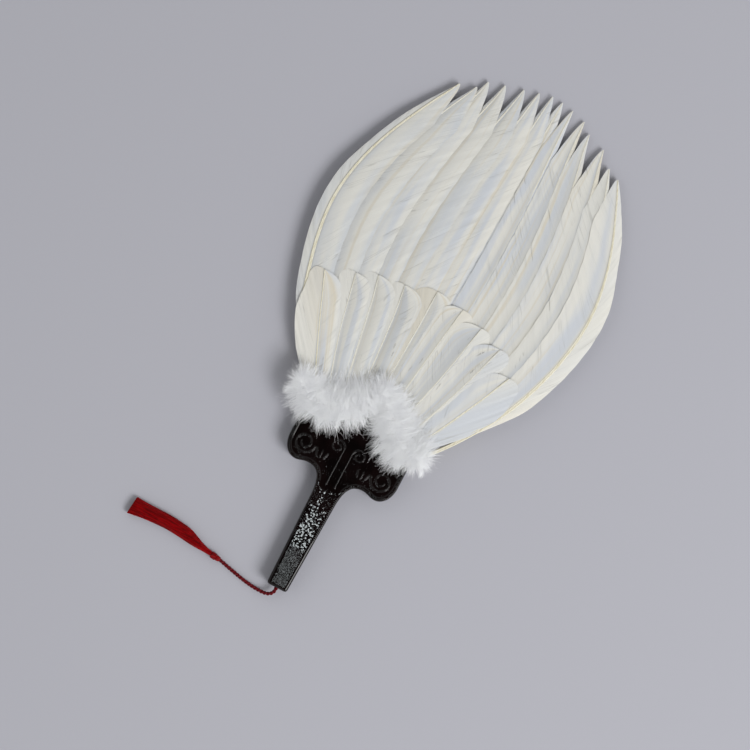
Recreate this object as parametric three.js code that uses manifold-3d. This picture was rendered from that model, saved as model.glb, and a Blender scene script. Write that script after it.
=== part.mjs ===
// A feather hand fan with a red tassel, lying on its back on a table.
// Two layers of flight feathers, each half under its outer neighbour, are stitched into a sheet and held
// by their quills in the head of a two-part moulded handle. Shorter covert feathers hide the stitching on
// both faces, tufts of down hide the joint with the handle, and a cord with a tassel leaves its end.
// Units are millimetres. +Y runs from the handle to the feather tips, +X to the right of the front face
// and +Z up out of it. The origin is on the table under the middle of the grip.
import * as THREE from "three";
import { mergeVertices } from "three/addons/utils/BufferGeometryUtils.js";
import Module from "manifold-3d";

const wasm = await Module();
wasm.setup();

// Clearances and overruns
const clearance = 0.3; // between pieces that lie on one another
const seam = 0.1; // between the two halves of the handle
const tableGap = 0.15; // between the table and the pieces that lie just above it
const overrun = 1; // how far a cutting solid runs past the face that it cuts

// Grip of the handle. Drops are measured down from the base of the head.
const grip = {
  length: 87,
  endHalfWidth: 7.9,
  neckHalfWidth: 9.6,
  neckDrop: 16,
  cornerRadius: 2.2,
  holdPoint: 45,
  wall: 2.2,
  endWall: 3,
  hollowDrop: 3,
  padInset: 1.9,
  padDrop: 9,
  grooveWidth: 0.8,
  grooveDepth: 0.4,
};

// Head of the handle: two round lobes below a pointed crest. Rises are measured up from its base.
const head = {
  halfWidth: 43,
  hollowX: 21.5,
  hollowRise: 2,
  lobeX: 31.8,
  sideStartRise: 15,
  sideEndRise: 27,
  shoulderX: 40.5,
  shoulderRise: 33,
  crestRise: 59,
  edgeRadius: 1.6,
  rimWidth: 1.3,
  reliefDepth: 0.5,
  reliefDrop: 6,
  socketWall: 2.4,
  socketRise: 14,
};

// Raised ornament of the head: a cloud scroll in each lobe, a double stem with curls and short rays
const ornament = {
  bandWidth: 1.5,
  lobeRadius: 8,
  lobeEyeRadius: 2.4,
  lobeX: 30.5,
  lobeRise: 14,
  stemX: 3.3,
  stemRise: 22,
  curlRadius: 5.2,
  curlEyeRadius: 1.7,
  rayLength: 6.5,
  rayX: 16.3,
  rayRise: 11.5,
  raySpacing: 3.6,
  stepsPerTurn: 10,
};

// Moulded pegs that line up the two halves: one in each lobe, and two along the grip
const peg = { radius: 1.5, height: 3, bossRadius: 2.7, lobeX: 33.5, lobeRise: 7, gripShares: [0.25, 0.69] };

// Blade: the fan-shaped surface that all the feathers follow, from the floor of the socket to the tips
const blade = { length: 299, halfWidth: 100.3, leanWidth: 11.5, archHeight: 3 };
const stitch = { diameter: 0.6, lengthShares: [0.2, 0.335], bowShare: 0.02, sides: 5, steps: 16 };

// Shape of the blade, as [share of its length, share of the size that the table follows]
const widthShares = [
  [0, 0.295], [0.06, 0.39], [0.1, 0.475], [0.15, 0.588], [0.2, 0.683], [0.25, 0.765], [0.3, 0.835],
  [0.37, 0.907], [0.45, 0.968], [0.54, 1], [0.63, 0.98],
  [0.73, 0.907], [0.84, 0.778], [0.92, 0.668], [1, 0.588],
];
const leanShares = [[0, 0], [0.1, 0.1], [0.36, 0.43], [0.52, 0.53], [0.84, 0.82], [1, 1]];
const archShares = [
  [0, 0], [0.08, 0], [0.15, 0.04], [0.2, 0.42], [0.27, 0.86], [0.34, 1], [0.55, 0.85], [0.78, -0.2],
  [1, -1.68],
];

// Flight feathers from left to right. Spreads are shares of the distance between two quills.
const flight = {
  name: "flight_feather",
  count: 14,
  lowest: 8,
  firstSpreadShare: -1,
  lastSpreadShare: 1,
  shingleHeight: 1,
  quillRadius: 1.6,
  tipRadius: 0.4,
  shaftHeight: 0.45,
  vaneHalfThickness: 0.2,
  tipLength: 35,
  tipRound: 0.68,
  vaneStartShare: 0.15,
  vaneFullShare: 0.33,
  narrowFromShare: 0.6,
  narrowToShare: 0.72,
  narrowShares: [0.75, 0.75, 0.75, 0.75, 0.75, 0.75, 0.75, 0.75, 0.75, 0.75, 0.75, 0.75, 0.75, 0.75],
  shiftFromShare: 0.62,
  tipShares: [0.922, 0.934, 0.958, 0.969, 0.981, 0.991, 0.999, 0.997, 0.991, 0.981, 0.96, 0.943, 0.91, 0.896],
  innerShares: [1.27, 1.45, 1.38, 1.4, 1.37, 1.28, 1.12, 0.85, 0.8, 0.92, 0.95, 1.15, 1.1, 1.32],
  outerShares: [0.5, 0.45, 0.42, 0.4, 0.42, 0.45, 0.42, 0.85, 0.42, 0.4, 0.45, 0.42, 0.45, 0.68],
  shiftShares: [0.33, 0.35, -0.3, -0.16, 0.16, 0.26, 0.3, 0.2, 0.2, 0.35, 0.05, 0.4, 0.1, -0.2],
  stationShares: [0, 0.07, 0.13, 0.18, 0.25, 0.34, 0.45, 0.56, 0.66, 0.77, 0.87, 0.915, 0.955, 0.985],
};

// Covert feathers: short and round-tipped, laid over the quills and the stitching
const covert = {
  name: "covert_feather",
  count: 9,
  lowest: 5,
  firstSpreadShare: -0.81,
  lastSpreadShare: 0.745,
  shingleHeight: 0.75,
  quillRadius: 0.7,
  tipRadius: 0.3,
  shaftHeight: 0.3,
  vaneHalfThickness: 0.2,
  tipLength: 8,
  tipRound: 0.36,
  vaneStartShare: 0.06,
  vaneFullShare: 0.19,
  narrowFromShare: 0.24,
  narrowToShare: 0.37,
  narrowShares: [0.5, 1, 1, 1, 1, 1, 1, 1, 0.5],
  shiftFromShare: 0.5,
  tipShares: [0.382, 0.41, 0.43, 0.438, 0.46, 0.45, 0.432, 0.408, 0.358],
  innerShares: [0.88, 0.86, 0.84, 0.88, 0.77, 0.75, 0.91, 0.88, 0.91],
  outerShares: [1.3, 0.64, 0.62, 0.59, 0.77, 0.62, 0.59, 0.64, 1.25],
  shiftShares: [-0.35, -0.12, -0.27, -0.2, 0, 0.17, 0.13, 0.2, 0.24],
  stationShares: [0, 0.12, 0.3, 0.5, 0.7, 0.86, 0.92, 0.965, 0.99],
};

// Down: two tufts on each face, each along an arc above the head's lobes
const down = {
  halfWidth: 17,
  height: 8.5,
  endShare: 0.35,
  backOffset: 25,
  stations: 10,
  ringPoints: 12,
};

// Middle lines of the tufts from left to right, as [share of the head's half width, share of its crest]
const leftTuftShares = [[-1.3, 0.91], [-1.09, 0.87], [-0.76, 0.87], [-0.44, 0.91], [-0.19, 0.97]];
const rightTuftShares = [[0.28, 0.97], [0.48, 0.91], [0.68, 0.88], [0.9, 0.87], [1.06, 0.88]];

// Cord, which lies on the table once it has come down from the handle
const cord = {
  diameter: 2.8,
  sides: 8,
  steps: 26,
  knotRadius: 2.7,
};
const cordRoute = [
  [0, -0.8, 6.5], [0, -2.3, 6.45], [-0.5, -4.3, 6.1], [-1.9, -6, 5.4], [-4.1, -7.2, 4.5], [-6.9, -7.8, 3.5],
  [-10.3, -7.9, 2.6], [-14, -7.8, 1.85], [-18, -7.4, 1.55], [-22.2, -6.8, 1.5], [-26.5, -6.0, 1.5],
  [-30.8, -5.1, 1.5], [-35, -4.15, 1.6], [-39, -3.2, 1.95], [-42.4, -2.4, 2.45], [-45.1, -1.8, 2.8],
];

// Tassel: threads folded over the end of the cord, bound round the neck and lying flattened on the table
const tassel = {
  headRadius: 2.1,
  headLength: 6.5,
  neckRadius: 1.7,
  bindingRadius: 2.5,
  bindingLength: 4,
  skirtLength: 66,
  skirtHalfWidth: 7,
  skirtHalfHeight: 2.7,
  bowWidth: -2.4,
  heading: (174.5 * Math.PI) / 180,
  fluteShare: 0.05,
  ringPoints: 20,
  headSides: 16,
};

// Shape of the tassel's head before its binding, as [share of that length, share of its radius]. Its cone
// leaves room to swing against the end of the cord.
const headShares = [[0, 0], [0.3, 0.33], [0.62, 0.7], [0.88, 1]];

// Shape of the skirt, as [share of its length, share of its half width, share of its half height]
const skirtShares = [
  [0, 0.25, 0.65], [0.06, 0.27, 0.68], [0.14, 0.36, 0.82], [0.24, 0.55, 0.94], [0.34, 0.69, 1],
  [0.5, 0.72, 1], [0.7, 0.77, 0.98], [0.87, 0.87, 0.95], [1, 1, 0.9],
];
const bowShares = [
  [0, 0.1], [0.14, 0.23], [0.245, 0.54], [0.35, 0.95], [0.46, 1], [0.58, 0.92], [0.79, 0.2], [1, -0.75],
];

// Places along the handle, from its end face
const neckStart = grip.length - grip.neckDrop;
const padEnd = grip.length - grip.padDrop;
const hollowEnd = grip.length - grip.hollowDrop;
const reliefStart = grip.length - head.reliefDrop;
const sideStart = grip.length + head.sideStartRise;
const sideEnd = grip.length + head.sideEndRise;
const shoulderY = grip.length + head.shoulderRise;
const crestY = grip.length + head.crestRise;
const bladeRoot = grip.length + head.socketRise;
const lobeY = grip.length + ornament.lobeRise;
const stemTop = grip.length + ornament.stemRise;
const rayY = grip.length + ornament.rayRise;
const pegY = grip.length + peg.lobeRise;

// Heights and sizes that follow from those above
const layerHalfGap = stitch.diameter / 2 + clearance;
const socketHalfHeight = layerHalfGap + 2 * flight.quillRadius + clearance;
const halfThickness = socketHalfHeight + head.socketWall;
const midHeight = halfThickness;
const gripHollowHalf = halfThickness - grip.wall;
const cordHole = cord.diameter + 2 * clearance;
const tasselRest = tassel.skirtHalfHeight + tableGap;

// Colours and finishes
const feather = new THREE.MeshStandardMaterial({ color: 0xe8e7df, roughness: 0.6 });
const fluff = new THREE.MeshStandardMaterial({ color: 0xf6f8fa, roughness: 0.9 });
const blackPlastic = new THREE.MeshStandardMaterial({ color: 0x0a0707, roughness: 0.18 });
const redThread = new THREE.MeshStandardMaterial({ color: 0xb00408, roughness: 0.45 });
const whiteThread = new THREE.MeshStandardMaterial({ color: 0xe6e2d6, roughness: 0.7 });

const part = new THREE.Group();
part.position.set(0, -grip.holdPoint, 0);

function addPiece(name, geometry, material, parent = part) {
  const mesh = new THREE.Mesh(geometry, material);
  mesh.name = name;
  parent.add(mesh);
  return mesh;
}

// A closed geometry as a solid that can be cut and joined
function solidOf(geometry) {
  const bare = geometry.clone();
  bare.deleteAttribute("normal");
  bare.deleteAttribute("uv");
  const merged = mergeVertices(bare);
  return new wasm.Manifold(
    new wasm.Mesh({
      numProp: 3,
      vertProperties: new Float32Array(merged.attributes.position.array),
      triVerts: new Uint32Array(merged.index.array),
    }),
  );
}

function geometryOf(solid) {
  const mesh = solid.getMesh();
  const geometry = new THREE.BufferGeometry();
  geometry.setAttribute("position", new THREE.BufferAttribute(new Float32Array(mesh.vertProperties), 3));
  geometry.setIndex(new THREE.BufferAttribute(new Uint32Array(mesh.triVerts), 1));
  geometry.computeVertexNormals();
  return geometry;
}

// Rings of points, each with as many points as the next, closed by a centre point at each end
function loft(rings, firstCentre, lastCentre) {
  const size = rings[0].length;
  const points = [...rings.flat(), firstCentre, lastCentre];
  const first = points.length - 2;
  const last = points.length - 1;
  const faces = [];
  for (let k = 0; k < size; k++) {
    const next = (k + 1) % size;
    faces.push(first, next, k);
    const end = (rings.length - 1) * size;
    faces.push(last, end + k, end + next);
    for (let r = 0; r + 1 < rings.length; r++) {
      const a = r * size + k;
      const b = r * size + next;
      faces.push(a, b, b + size, a, b + size, a + size);
    }
  }
  const geometry = new THREE.BufferGeometry().setFromPoints(points);
  geometry.setIndex(faces);
  geometry.computeVertexNormals();
  return geometry;
}

const smooth = (from, to, t) => THREE.MathUtils.smoothstep(t, from, to);
const mix = THREE.MathUtils.lerp;

// Value at t of a smooth curve through a table of [place, value]
function through(table, t) {
  const last = table.length - 1;
  let i = table.findIndex(([place]) => place > t) - 1;
  if (i < -1 || t >= table[last][0]) i = last - 1;
  if (i < 0) i = 0;
  const slope = (k) => {
    const a = table[Math.max(k - 1, 0)];
    const b = table[Math.min(k + 1, last)];
    return (b[1] - a[1]) / (b[0] - a[0]);
  };
  const [x0, y0] = table[i];
  const [x1, y1] = table[i + 1];
  const h = x1 - x0;
  const u = Math.min(Math.max((t - x0) / h, 0), 1);
  const rise = y1 - y0;
  const startBend = slope(i) * h - rise;
  const endBend = rise - slope(i + 1) * h;
  return y0 + u * rise + u * (1 - u) * ((1 - u) * startBend + u * endBend);
}

// The blade: a place on it is a share t of its length and a spread from -1 at the left to 1 at the right
const bladeWidth = (t) => blade.halfWidth * through(widthShares, t);
const bladeHeight = (t) => midHeight + blade.archHeight * through(archShares, t);
const bladeY = (t) => bladeRoot + t * blade.length;
const bladeX = (t, spread) => blade.leanWidth * through(leanShares, t) + spread * bladeWidth(t);

// Feathers of one bank and how they lie over each other. The outer feather is on top, and the one
// called lowest has both its edges under its neighbours.
const pitchOf = (bank) => (bank.lastSpreadShare - bank.firstSpreadShare) / (bank.count - 1);

function liftOf(bank, index, place) {
  if (index === bank.lowest) return -bank.shingleHeight * Math.abs(place - index);
  return bank.shingleHeight * (index < bank.lowest ? place - index : index - place);
}

const vaneGrowth = (bank, t) => smooth(bank.vaneStartShare, bank.vaneFullShare, t);

function shaftRadius(bank, t, tip) {
  return mix(bank.quillRadius, bank.tipRadius, Math.min(t / tip, 1));
}

function shaftTop(bank, t, tip) {
  const radius = shaftRadius(bank, t, tip);
  return mix(radius, Math.min(radius, bank.shaftHeight), smooth(0, bank.vaneStartShare, t));
}

const shaftBottom = (bank, t, tip) => 2 * shaftRadius(bank, t, tip) - shaftTop(bank, t, tip);

// Height of a bank's shafts above the middle of the blade, and of the highest edge of its vanes
flight.standoff = (t) => layerHalfGap + shaftBottom(flight, t, 1);
const topOf = (bank, t) => {
  const edge = bank.shingleHeight * Math.max(...bank.innerShares) * vaneGrowth(bank, t);
  return bank.standoff(t) + Math.max(edge, shaftTop(bank, t, 1)) + bank.vaneHalfThickness;
};
covert.standoff = (t) => topOf(flight, t) + clearance + shaftBottom(covert, t, Math.max(...covert.tipShares));

// Upper edge of the head, which the quills pass and the down follows
const crestCurve = new THREE.CubicBezierCurve(
  new THREE.Vector2(head.shoulderX, shoulderY),
  new THREE.Vector2(mix(head.shoulderX, 0, 0.3), mix(shoulderY, crestY, 0.42)),
  new THREE.Vector2(mix(head.shoulderX, 0, 0.68), crestY),
  new THREE.Vector2(0, crestY),
);

function headTop(x) {
  const points = crestCurve.getPoints(24);
  const found = points.find((point) => point.x <= Math.abs(x));
  return Math.abs(x) > head.halfWidth ? sideEnd : found.y;
}

// Where a feather starts: flight quills on the socket's floor, coverts just past the head's edge
flight.rootOf = () => (2 * clearance) / blade.length;
covert.rootOf = (spread) => {
  const reach = bladeX(0.08, spread);
  return (headTop(reach) + 2 * clearance + covert.quillRadius * 2 - bladeRoot) / blade.length;
};

// One feather: a hollow-free loft of eight-sided sections that starts as a quill and spreads into a vane
function featherGeometry(bank, index, side) {
  const at = index - 1;
  const pitch = pitchOf(bank);
  const home = bank.firstSpreadShare + pitch * at;
  const root = bank.rootOf(home);
  const tip = bank.tipShares[at];
  const innerSide = index <= bank.lowest ? 1 : -1;

  const placeOf = (t) => {
    const bend = THREE.MathUtils.clamp((t / tip - bank.shiftFromShare) / (1 - bank.shiftFromShare), 0, 1);
    return index + bank.shiftShares[at] * bend * bend;
  };
  const point = (t, offset, height) => {
    const pitchWidth = pitch * bladeWidth(t);
    const place = placeOf(t) + offset / pitchWidth;
    const spread = bank.firstSpreadShare + pitch * (place - 1);
    const fade = smooth(0, bank.vaneStartShare, t);
    const level = bank.standoff(t) + fade * liftOf(bank, index, place) + height;
    return new THREE.Vector3(bladeX(t, spread), bladeY(t), bladeHeight(t) + side * level);
  };

  const ring = (t) => {
    const pitchWidth = pitch * bladeWidth(t);
    const toTip = ((tip - t) * blade.length) / bank.tipLength;
    const taper = Math.min(1, Math.max(0, toTip)) ** bank.tipRound;
    const narrow = mix(1, bank.narrowShares[at], smooth(bank.narrowFromShare, bank.narrowToShare, t));
    const grown = vaneGrowth(bank, t) * taper * pitchWidth;
    const radius = shaftRadius(bank, t, tip);
    const inner = innerSide * Math.max(radius, bank.innerShares[at] * grown);
    const outer = -innerSide * Math.max(radius, bank.outerShares[at] * grown * narrow);
    const flat = smooth(0, bank.vaneStartShare, t);
    const top = shaftTop(bank, t, tip);
    const bottom = 2 * radius - top;
    const shoulder = innerSide * radius * mix(Math.SQRT1_2, 1, flat);
    const upper = mix(top * Math.SQRT1_2, bank.vaneHalfThickness, flat);
    const lower = mix(bottom * Math.SQRT1_2, bank.vaneHalfThickness, flat);
    const loop = [
      point(t, outer, 0),
      point(t, -shoulder, -lower),
      point(t, 0, -bottom),
      point(t, shoulder, -lower),
      point(t, inner, 0),
      point(t, shoulder, upper),
      point(t, 0, top),
      point(t, -shoulder, upper),
    ];
    return innerSide * side > 0 ? loop.reverse() : loop;
  };

  const shares = bank.stationShares.map((share) => mix(root, tip, share));
  return loft(shares.map(ring), point(root, 0, 0), point(tip, 0, 0));
}

for (const bank of [flight, covert]) {
  for (const [face, side] of [["front", 1], ["back", -1]]) {
    for (let index = 1; index <= bank.count; index++) {
      const number = String(index).padStart(2, "0");
      addPiece(`${face}_${bank.name}_${number}`, featherGeometry(bank, index, side), feather);
    }
  }
}

// Stitching: two threads that run across between the layers and hold the shafts apart
function tube(route, radius, sides, steps) {
  const section = new THREE.Shape();
  for (let k = 0; k < sides; k++) {
    const angle = (k / sides) * 2 * Math.PI;
    const x = radius * Math.cos(angle);
    const y = radius * Math.sin(angle);
    if (k === 0) section.moveTo(x, y);
    else section.lineTo(x, y);
  }
  section.closePath();
  return new THREE.ExtrudeGeometry(section, { steps, extrudePath: route, bevelEnabled: false });
}

function stitchRoute(share) {
  const points = [];
  for (let spread = flight.firstSpreadShare; spread <= flight.lastSpreadShare + 0.01; spread += 0.2) {
    const t = share - stitch.bowShare * spread * spread;
    points.push(new THREE.Vector3(bladeX(t, spread), bladeY(t), bladeHeight(t)));
  }
  return new THREE.CatmullRomCurve3(points);
}

stitch.lengthShares.forEach((share, row) => {
  const name = row === 0 ? "stitch_thread_lower" : "stitch_thread_upper";
  addPiece(name, tube(stitchRoute(share), stitch.diameter / 2, stitch.sides, stitch.steps), whiteThread);
});

// Outline of the handle: the right half from the end face up to the crest, then its mirror image
function handleOutline() {
  const hollowY = grip.length + head.hollowRise;
  const half = new THREE.Path();
  const corner = grip.cornerRadius;
  half.absarc(grip.endHalfWidth - corner, corner, corner, -Math.PI / 2, 0);
  half.lineTo(grip.neckHalfWidth, neckStart);
  half.bezierCurveTo(
    mix(grip.neckHalfWidth, head.hollowX, 0.05), mix(neckStart, hollowY, 0.75),
    mix(grip.neckHalfWidth, head.hollowX, 0.4), hollowY,
    head.hollowX, hollowY,
  );
  half.bezierCurveTo(
    mix(head.hollowX, head.lobeX, 0.45), hollowY,
    mix(head.hollowX, head.lobeX, 0.6), grip.length,
    head.lobeX, grip.length,
  );
  half.bezierCurveTo(
    mix(head.lobeX, head.halfWidth, 0.6), grip.length,
    head.halfWidth, mix(grip.length, sideStart, 0.45),
    head.halfWidth, sideStart,
  );
  half.lineTo(head.halfWidth, sideEnd);
  const turn = mix(shoulderY, sideEnd, 0.37);
  half.quadraticCurveTo(head.halfWidth, turn, head.shoulderX, shoulderY);
  const right = half.getPoints(7);
  right.push(...crestCurve.getPoints(9).slice(1));
  const left = right.slice(0, -1).reverse().map((point) => new THREE.Vector2(-point.x, point.y));
  return [...right, ...left];
}

// The same outline moved inwards by a distance
function inset(outline, distance) {
  return outline.map((point, k) => {
    const before = outline[(k + outline.length - 1) % outline.length];
    const after = outline[(k + 1) % outline.length];
    const along = after.clone().sub(before).normalize();
    return point.clone().add(new THREE.Vector2(-along.y, along.x).multiplyScalar(distance));
  });
}

function slab(outline, low, high) {
  const shape = new THREE.Shape(outline);
  const geometry = new THREE.ExtrudeGeometry(shape, { depth: high - low, bevelEnabled: false });
  return solidOf(geometry.translate(0, 0, low));
}

function handleBody() {
  const shape = new THREE.Shape(handleOutline());
  const geometry = new THREE.ExtrudeGeometry(shape, {
    depth: 2 * (halfThickness - head.edgeRadius),
    bevelEnabled: true,
    bevelThickness: head.edgeRadius,
    bevelSize: head.edgeRadius,
    bevelOffset: -head.edgeRadius,
    bevelSegments: 2,
  });
  return solidOf(geometry.translate(0, 0, midHeight - halfThickness + head.edgeRadius));
}

const gripHalfWidth = (y) => mix(grip.endHalfWidth, grip.neckHalfWidth, y / neckStart);

// A four-sided outline that follows the grip's taper, set in from its sides
function gripPanel(start, end, inward) {
  const low = gripHalfWidth(start) - inward;
  const high = gripHalfWidth(end) - inward;
  return [
    new THREE.Vector2(-low, start),
    new THREE.Vector2(low, start),
    new THREE.Vector2(high, end),
    new THREE.Vector2(-high, end),
  ];
}

// The socket is as wide as the fan of quills and opens through the head's upper edge
function socketOutline() {
  const right = [];
  const left = [];
  for (const t of [0, 0.04, 0.08, 0.12, 0.16]) {
    const margin = flight.quillRadius + 2 * clearance;
    right.push(new THREE.Vector2(bladeX(t, flight.lastSpreadShare) + margin, bladeY(t)));
    left.unshift(new THREE.Vector2(bladeX(t, flight.firstSpreadShare) - margin, bladeY(t)));
  }
  return [...right, ...left];
}

// A round post or bore that stands on the table's normal
function post(radius, x, y, low, high) {
  const geometry = new THREE.CylinderGeometry(radius, radius, high - low, 16);
  geometry.rotateX(Math.PI / 2);
  return solidOf(geometry.translate(x, y, (low + high) / 2));
}

function spiralBand(centreX, centreY, outer, inner, startAngle, turns) {
  const far = [];
  const near = [];
  const steps = Math.round(Math.abs(turns) * ornament.stepsPerTurn);
  for (let k = 0; k <= steps; k++) {
    const share = k / steps;
    const angle = startAngle + share * turns * 2 * Math.PI;
    const radius = mix(outer, inner, share);
    const half = (ornament.bandWidth / 2) * mix(1, 0.6, share);
    const ray = new THREE.Vector2(Math.cos(angle), Math.sin(angle));
    const centre = new THREE.Vector2(centreX, centreY);
    far.push(ray.clone().multiplyScalar(radius + half).add(centre));
    near.unshift(ray.clone().multiplyScalar(radius - half).add(centre));
  }
  return turns > 0 ? [...far, ...near] : [...near, ...far];
}

function rayLeaf(x, y, angle) {
  const along = new THREE.Vector2(Math.cos(angle), Math.sin(angle)).multiplyScalar(ornament.rayLength / 2);
  const across = new THREE.Vector2(-along.y, along.x).setLength(ornament.bandWidth / 2);
  const centre = new THREE.Vector2(x, y);
  return [along, across, along.clone().negate(), across.clone().negate()].map((v) => v.add(centre));
}

function ornamentSolids(low, high) {
  const half = ornament.bandWidth / 2;
  const stem = [
    new THREE.Vector2(ornament.stemX - half, reliefStart),
    new THREE.Vector2(ornament.stemX + half, reliefStart),
    new THREE.Vector2(ornament.stemX + half, stemTop),
    new THREE.Vector2(ornament.stemX - half, stemTop),
  ];
  const curlX = ornament.stemX + ornament.curlRadius;
  const drawn = [
    stem,
    spiralBand(ornament.lobeX, lobeY, ornament.lobeRadius, ornament.lobeEyeRadius, Math.PI, 1.5),
    spiralBand(curlX, stemTop, ornament.curlRadius, ornament.curlEyeRadius, Math.PI, -1.25),
  ];
  for (const k of [-1, 0, 1]) {
    const angle = Math.PI / 2 - (k * Math.PI) / 9;
    drawn.push(rayLeaf(ornament.rayX + k * ornament.raySpacing, rayY, angle));
  }
  const right = drawn.map((outline) => slab(outline, low, high)).reduce((all, solid) => all.add(solid));
  return right.add(right.mirror([1, 0, 0]));
}

// The lowered field of the head on one face, with the ornament left standing in it
function reliefField(side) {
  const face = midHeight + side * halfThickness;
  const floor = face - side * head.reliefDepth;
  const low = Math.min(floor, face + side * overrun);
  const high = Math.max(floor, face + side * overrun);
  const atShoulder = (point) => point.y > sideEnd && point.y < shoulderY;
  const headOutline = handleOutline().filter((point) => point.y >= neckStart && !atShoulder(point));
  const field = slab(inset(headOutline, head.edgeRadius + head.rimWidth), low, high);
  const gripArea = gripPanel(-overrun, reliefStart, -head.halfWidth);
  return field
    .subtract(slab(gripArea, low - overrun, high + overrun))
    .subtract(ornamentSolids(low - overrun, high + overrun));
}

// A narrow groove that frames the panel of the grip
function panelGroove(side) {
  const face = midHeight + side * halfThickness;
  const floor = face - side * grip.grooveDepth;
  const low = Math.min(floor, face + side * overrun);
  const high = Math.max(floor, face + side * overrun);
  const within = grip.padInset + grip.grooveWidth;
  const outer = gripPanel(grip.padInset, padEnd, grip.padInset);
  const inner = gripPanel(within, padEnd - grip.grooveWidth, within);
  return slab(outer, low, high).subtract(slab(inner, low - overrun, high + overrun));
}

function cordBore() {
  const length = grip.endWall + 2 * overrun;
  const bore = new THREE.CylinderGeometry(cordHole / 2, cordHole / 2, length, 16);
  return solidOf(bore.translate(0, length / 2 - overrun, midHeight));
}

// One half of the handle. The front half carries the pegs, and the back half the holes that they enter.
function handleHalf(side) {
  const parting = midHeight + (side * seam) / 2;
  const face = midHeight + side * halfThickness;
  const keepLow = side > 0 ? parting : face - overrun;
  const keepHigh = side > 0 ? face + overrun : parting;
  const reach = head.halfWidth + overrun;
  const keep = gripPanel(-overrun, crestY + overrun, -reach);
  const hollow = gripPanel(grip.endWall, hollowEnd, grip.wall);

  let half = handleBody().intersect(slab(keep, keepLow, keepHigh));
  half = half.subtract(slab(hollow, midHeight - gripHollowHalf, midHeight + gripHollowHalf));
  half = half.subtract(slab(socketOutline(), midHeight - socketHalfHeight, midHeight + socketHalfHeight));
  half = half.subtract(cordBore()).subtract(reliefField(side)).subtract(panelGroove(side));
  const places = peg.gripShares.map((share) => [0, share * grip.length]);
  for (const [x, y] of places) {
    const floor = midHeight + side * (gripHollowHalf + grip.wall / 2);
    half = half.add(post(peg.bossRadius, x, y, Math.min(floor, parting), Math.max(floor, parting)));
  }
  for (const [x, y] of [...places, [-peg.lobeX, pegY], [peg.lobeX, pegY]]) {
    if (side > 0) {
      half = half.add(post(peg.radius, x, y, midHeight - peg.height, midHeight + peg.height / 2));
    } else {
      const depth = midHeight - peg.height - clearance;
      half = half.subtract(post(peg.radius + clearance, x, y, depth, midHeight + overrun));
    }
  }
  return half;
}

addPiece("handle_front_shell", geometryOf(handleHalf(1)), blackPlastic);
addPiece("handle_back_shell", geometryOf(handleHalf(-1)), blackPlastic);

// Stopper knot in the end of the grip, with the cord that runs from it through the end wall
function cordKnot() {
  const ball = new THREE.SphereGeometry(cord.knotRadius, 12, 8);
  const centre = grip.endWall + clearance + cord.knotRadius;
  const stub = new THREE.CylinderGeometry(cord.diameter / 2, cord.diameter / 2, centre, cord.sides);
  return solidOf(ball.translate(0, centre, midHeight)).add(solidOf(stub.translate(0, centre / 2, midHeight)));
}

addPiece("cord_knot", geometryOf(cordKnot()), redThread);

// Down: each tuft is a closed pillow along an arc, with its flat side on the handle and the feathers
function downGeometry(shares, side) {
  const shift = side > 0 ? 0 : down.backOffset;
  const places = shares.map(([x, y]) => new THREE.Vector3(head.halfWidth * x, crestY * y + shift, 0));
  const route = new THREE.CatmullRomCurve3(places);
  const seatOf = (y) => {
    const t = Math.max((y - bladeRoot) / blade.length, 0);
    const onFeathers = side * (bladeHeight(t) - midHeight) + topOf(covert, t);
    return (side > 0 ? Math.max(onFeathers, halfThickness) : onFeathers) + 2 * clearance;
  };
  const ringAt = (u) => {
    const swell = mix(down.endShare, 1, Math.sqrt(Math.max(0, 1 - (2 * u - 1) ** 2)));
    const centre = route.getPoint(u);
    const along = route.getTangent(u);
    const ring = [];
    for (let k = 0; k < down.ringPoints; k++) {
      const angle = (k / down.ringPoints) * 2 * Math.PI;
      const across = down.halfWidth * swell * Math.cos(angle);
      const y = centre.y + along.x * across;
      const seat = seatOf(y);
      const room = side > 0 ? down.height : midHeight - tableGap - seat;
      const level = seat + room * swell * Math.max(0, Math.sin(angle));
      ring.push(new THREE.Vector3(centre.x - along.y * across, y, midHeight + side * level));
    }
    return side > 0 ? ring : ring.reverse();
  };
  const rings = [];
  for (let r = 0; r <= down.stations; r++) rings.push(ringAt(r / down.stations));
  const middle = (ring) => ring[0].clone().lerp(ring[down.ringPoints / 2], 0.5);
  return loft(rings, middle(rings[0]), middle(rings[down.stations]));
}

for (const [face, side] of [["front", 1], ["back", -1]]) {
  addPiece(`down_tuft_${face}_left`, downGeometry(leftTuftShares, side), fluff);
  addPiece(`down_tuft_${face}_right`, downGeometry(rightTuftShares, side), fluff);
}

// Cord from the end of the grip to the tassel
const cordCurve = new THREE.CatmullRomCurve3(cordRoute.map((place) => new THREE.Vector3(...place)));
addPiece("tassel_cord", tube(cordCurve, cord.diameter / 2, cord.sides, cord.steps), redThread);

// Tassel, built along its own +X from the end of the cord and turned to lie as the cord leads it
const tasselPlace = new THREE.Group();
const cordEnd = cordCurve.getPoint(1);
tasselPlace.position.set(cordEnd.x, cordEnd.y, tasselRest);
tasselPlace.rotation.z = tassel.heading;
part.add(tasselPlace);

function turned(profile) {
  const points = profile.map(([along, radius]) => new THREE.Vector2(radius, along));
  return new THREE.LatheGeometry(points, tassel.headSides).rotateZ(-Math.PI / 2);
}

function tasselHead() {
  const end = clearance + tassel.headLength;
  const bare = tassel.headLength - tassel.bindingLength - clearance;
  const profile = headShares.map(([place, share]) => [clearance + place * bare, tassel.headRadius * share]);
  return turned([...profile, [clearance + bare, tassel.neckRadius], [end, tassel.neckRadius], [end, 0]]);
}

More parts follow.
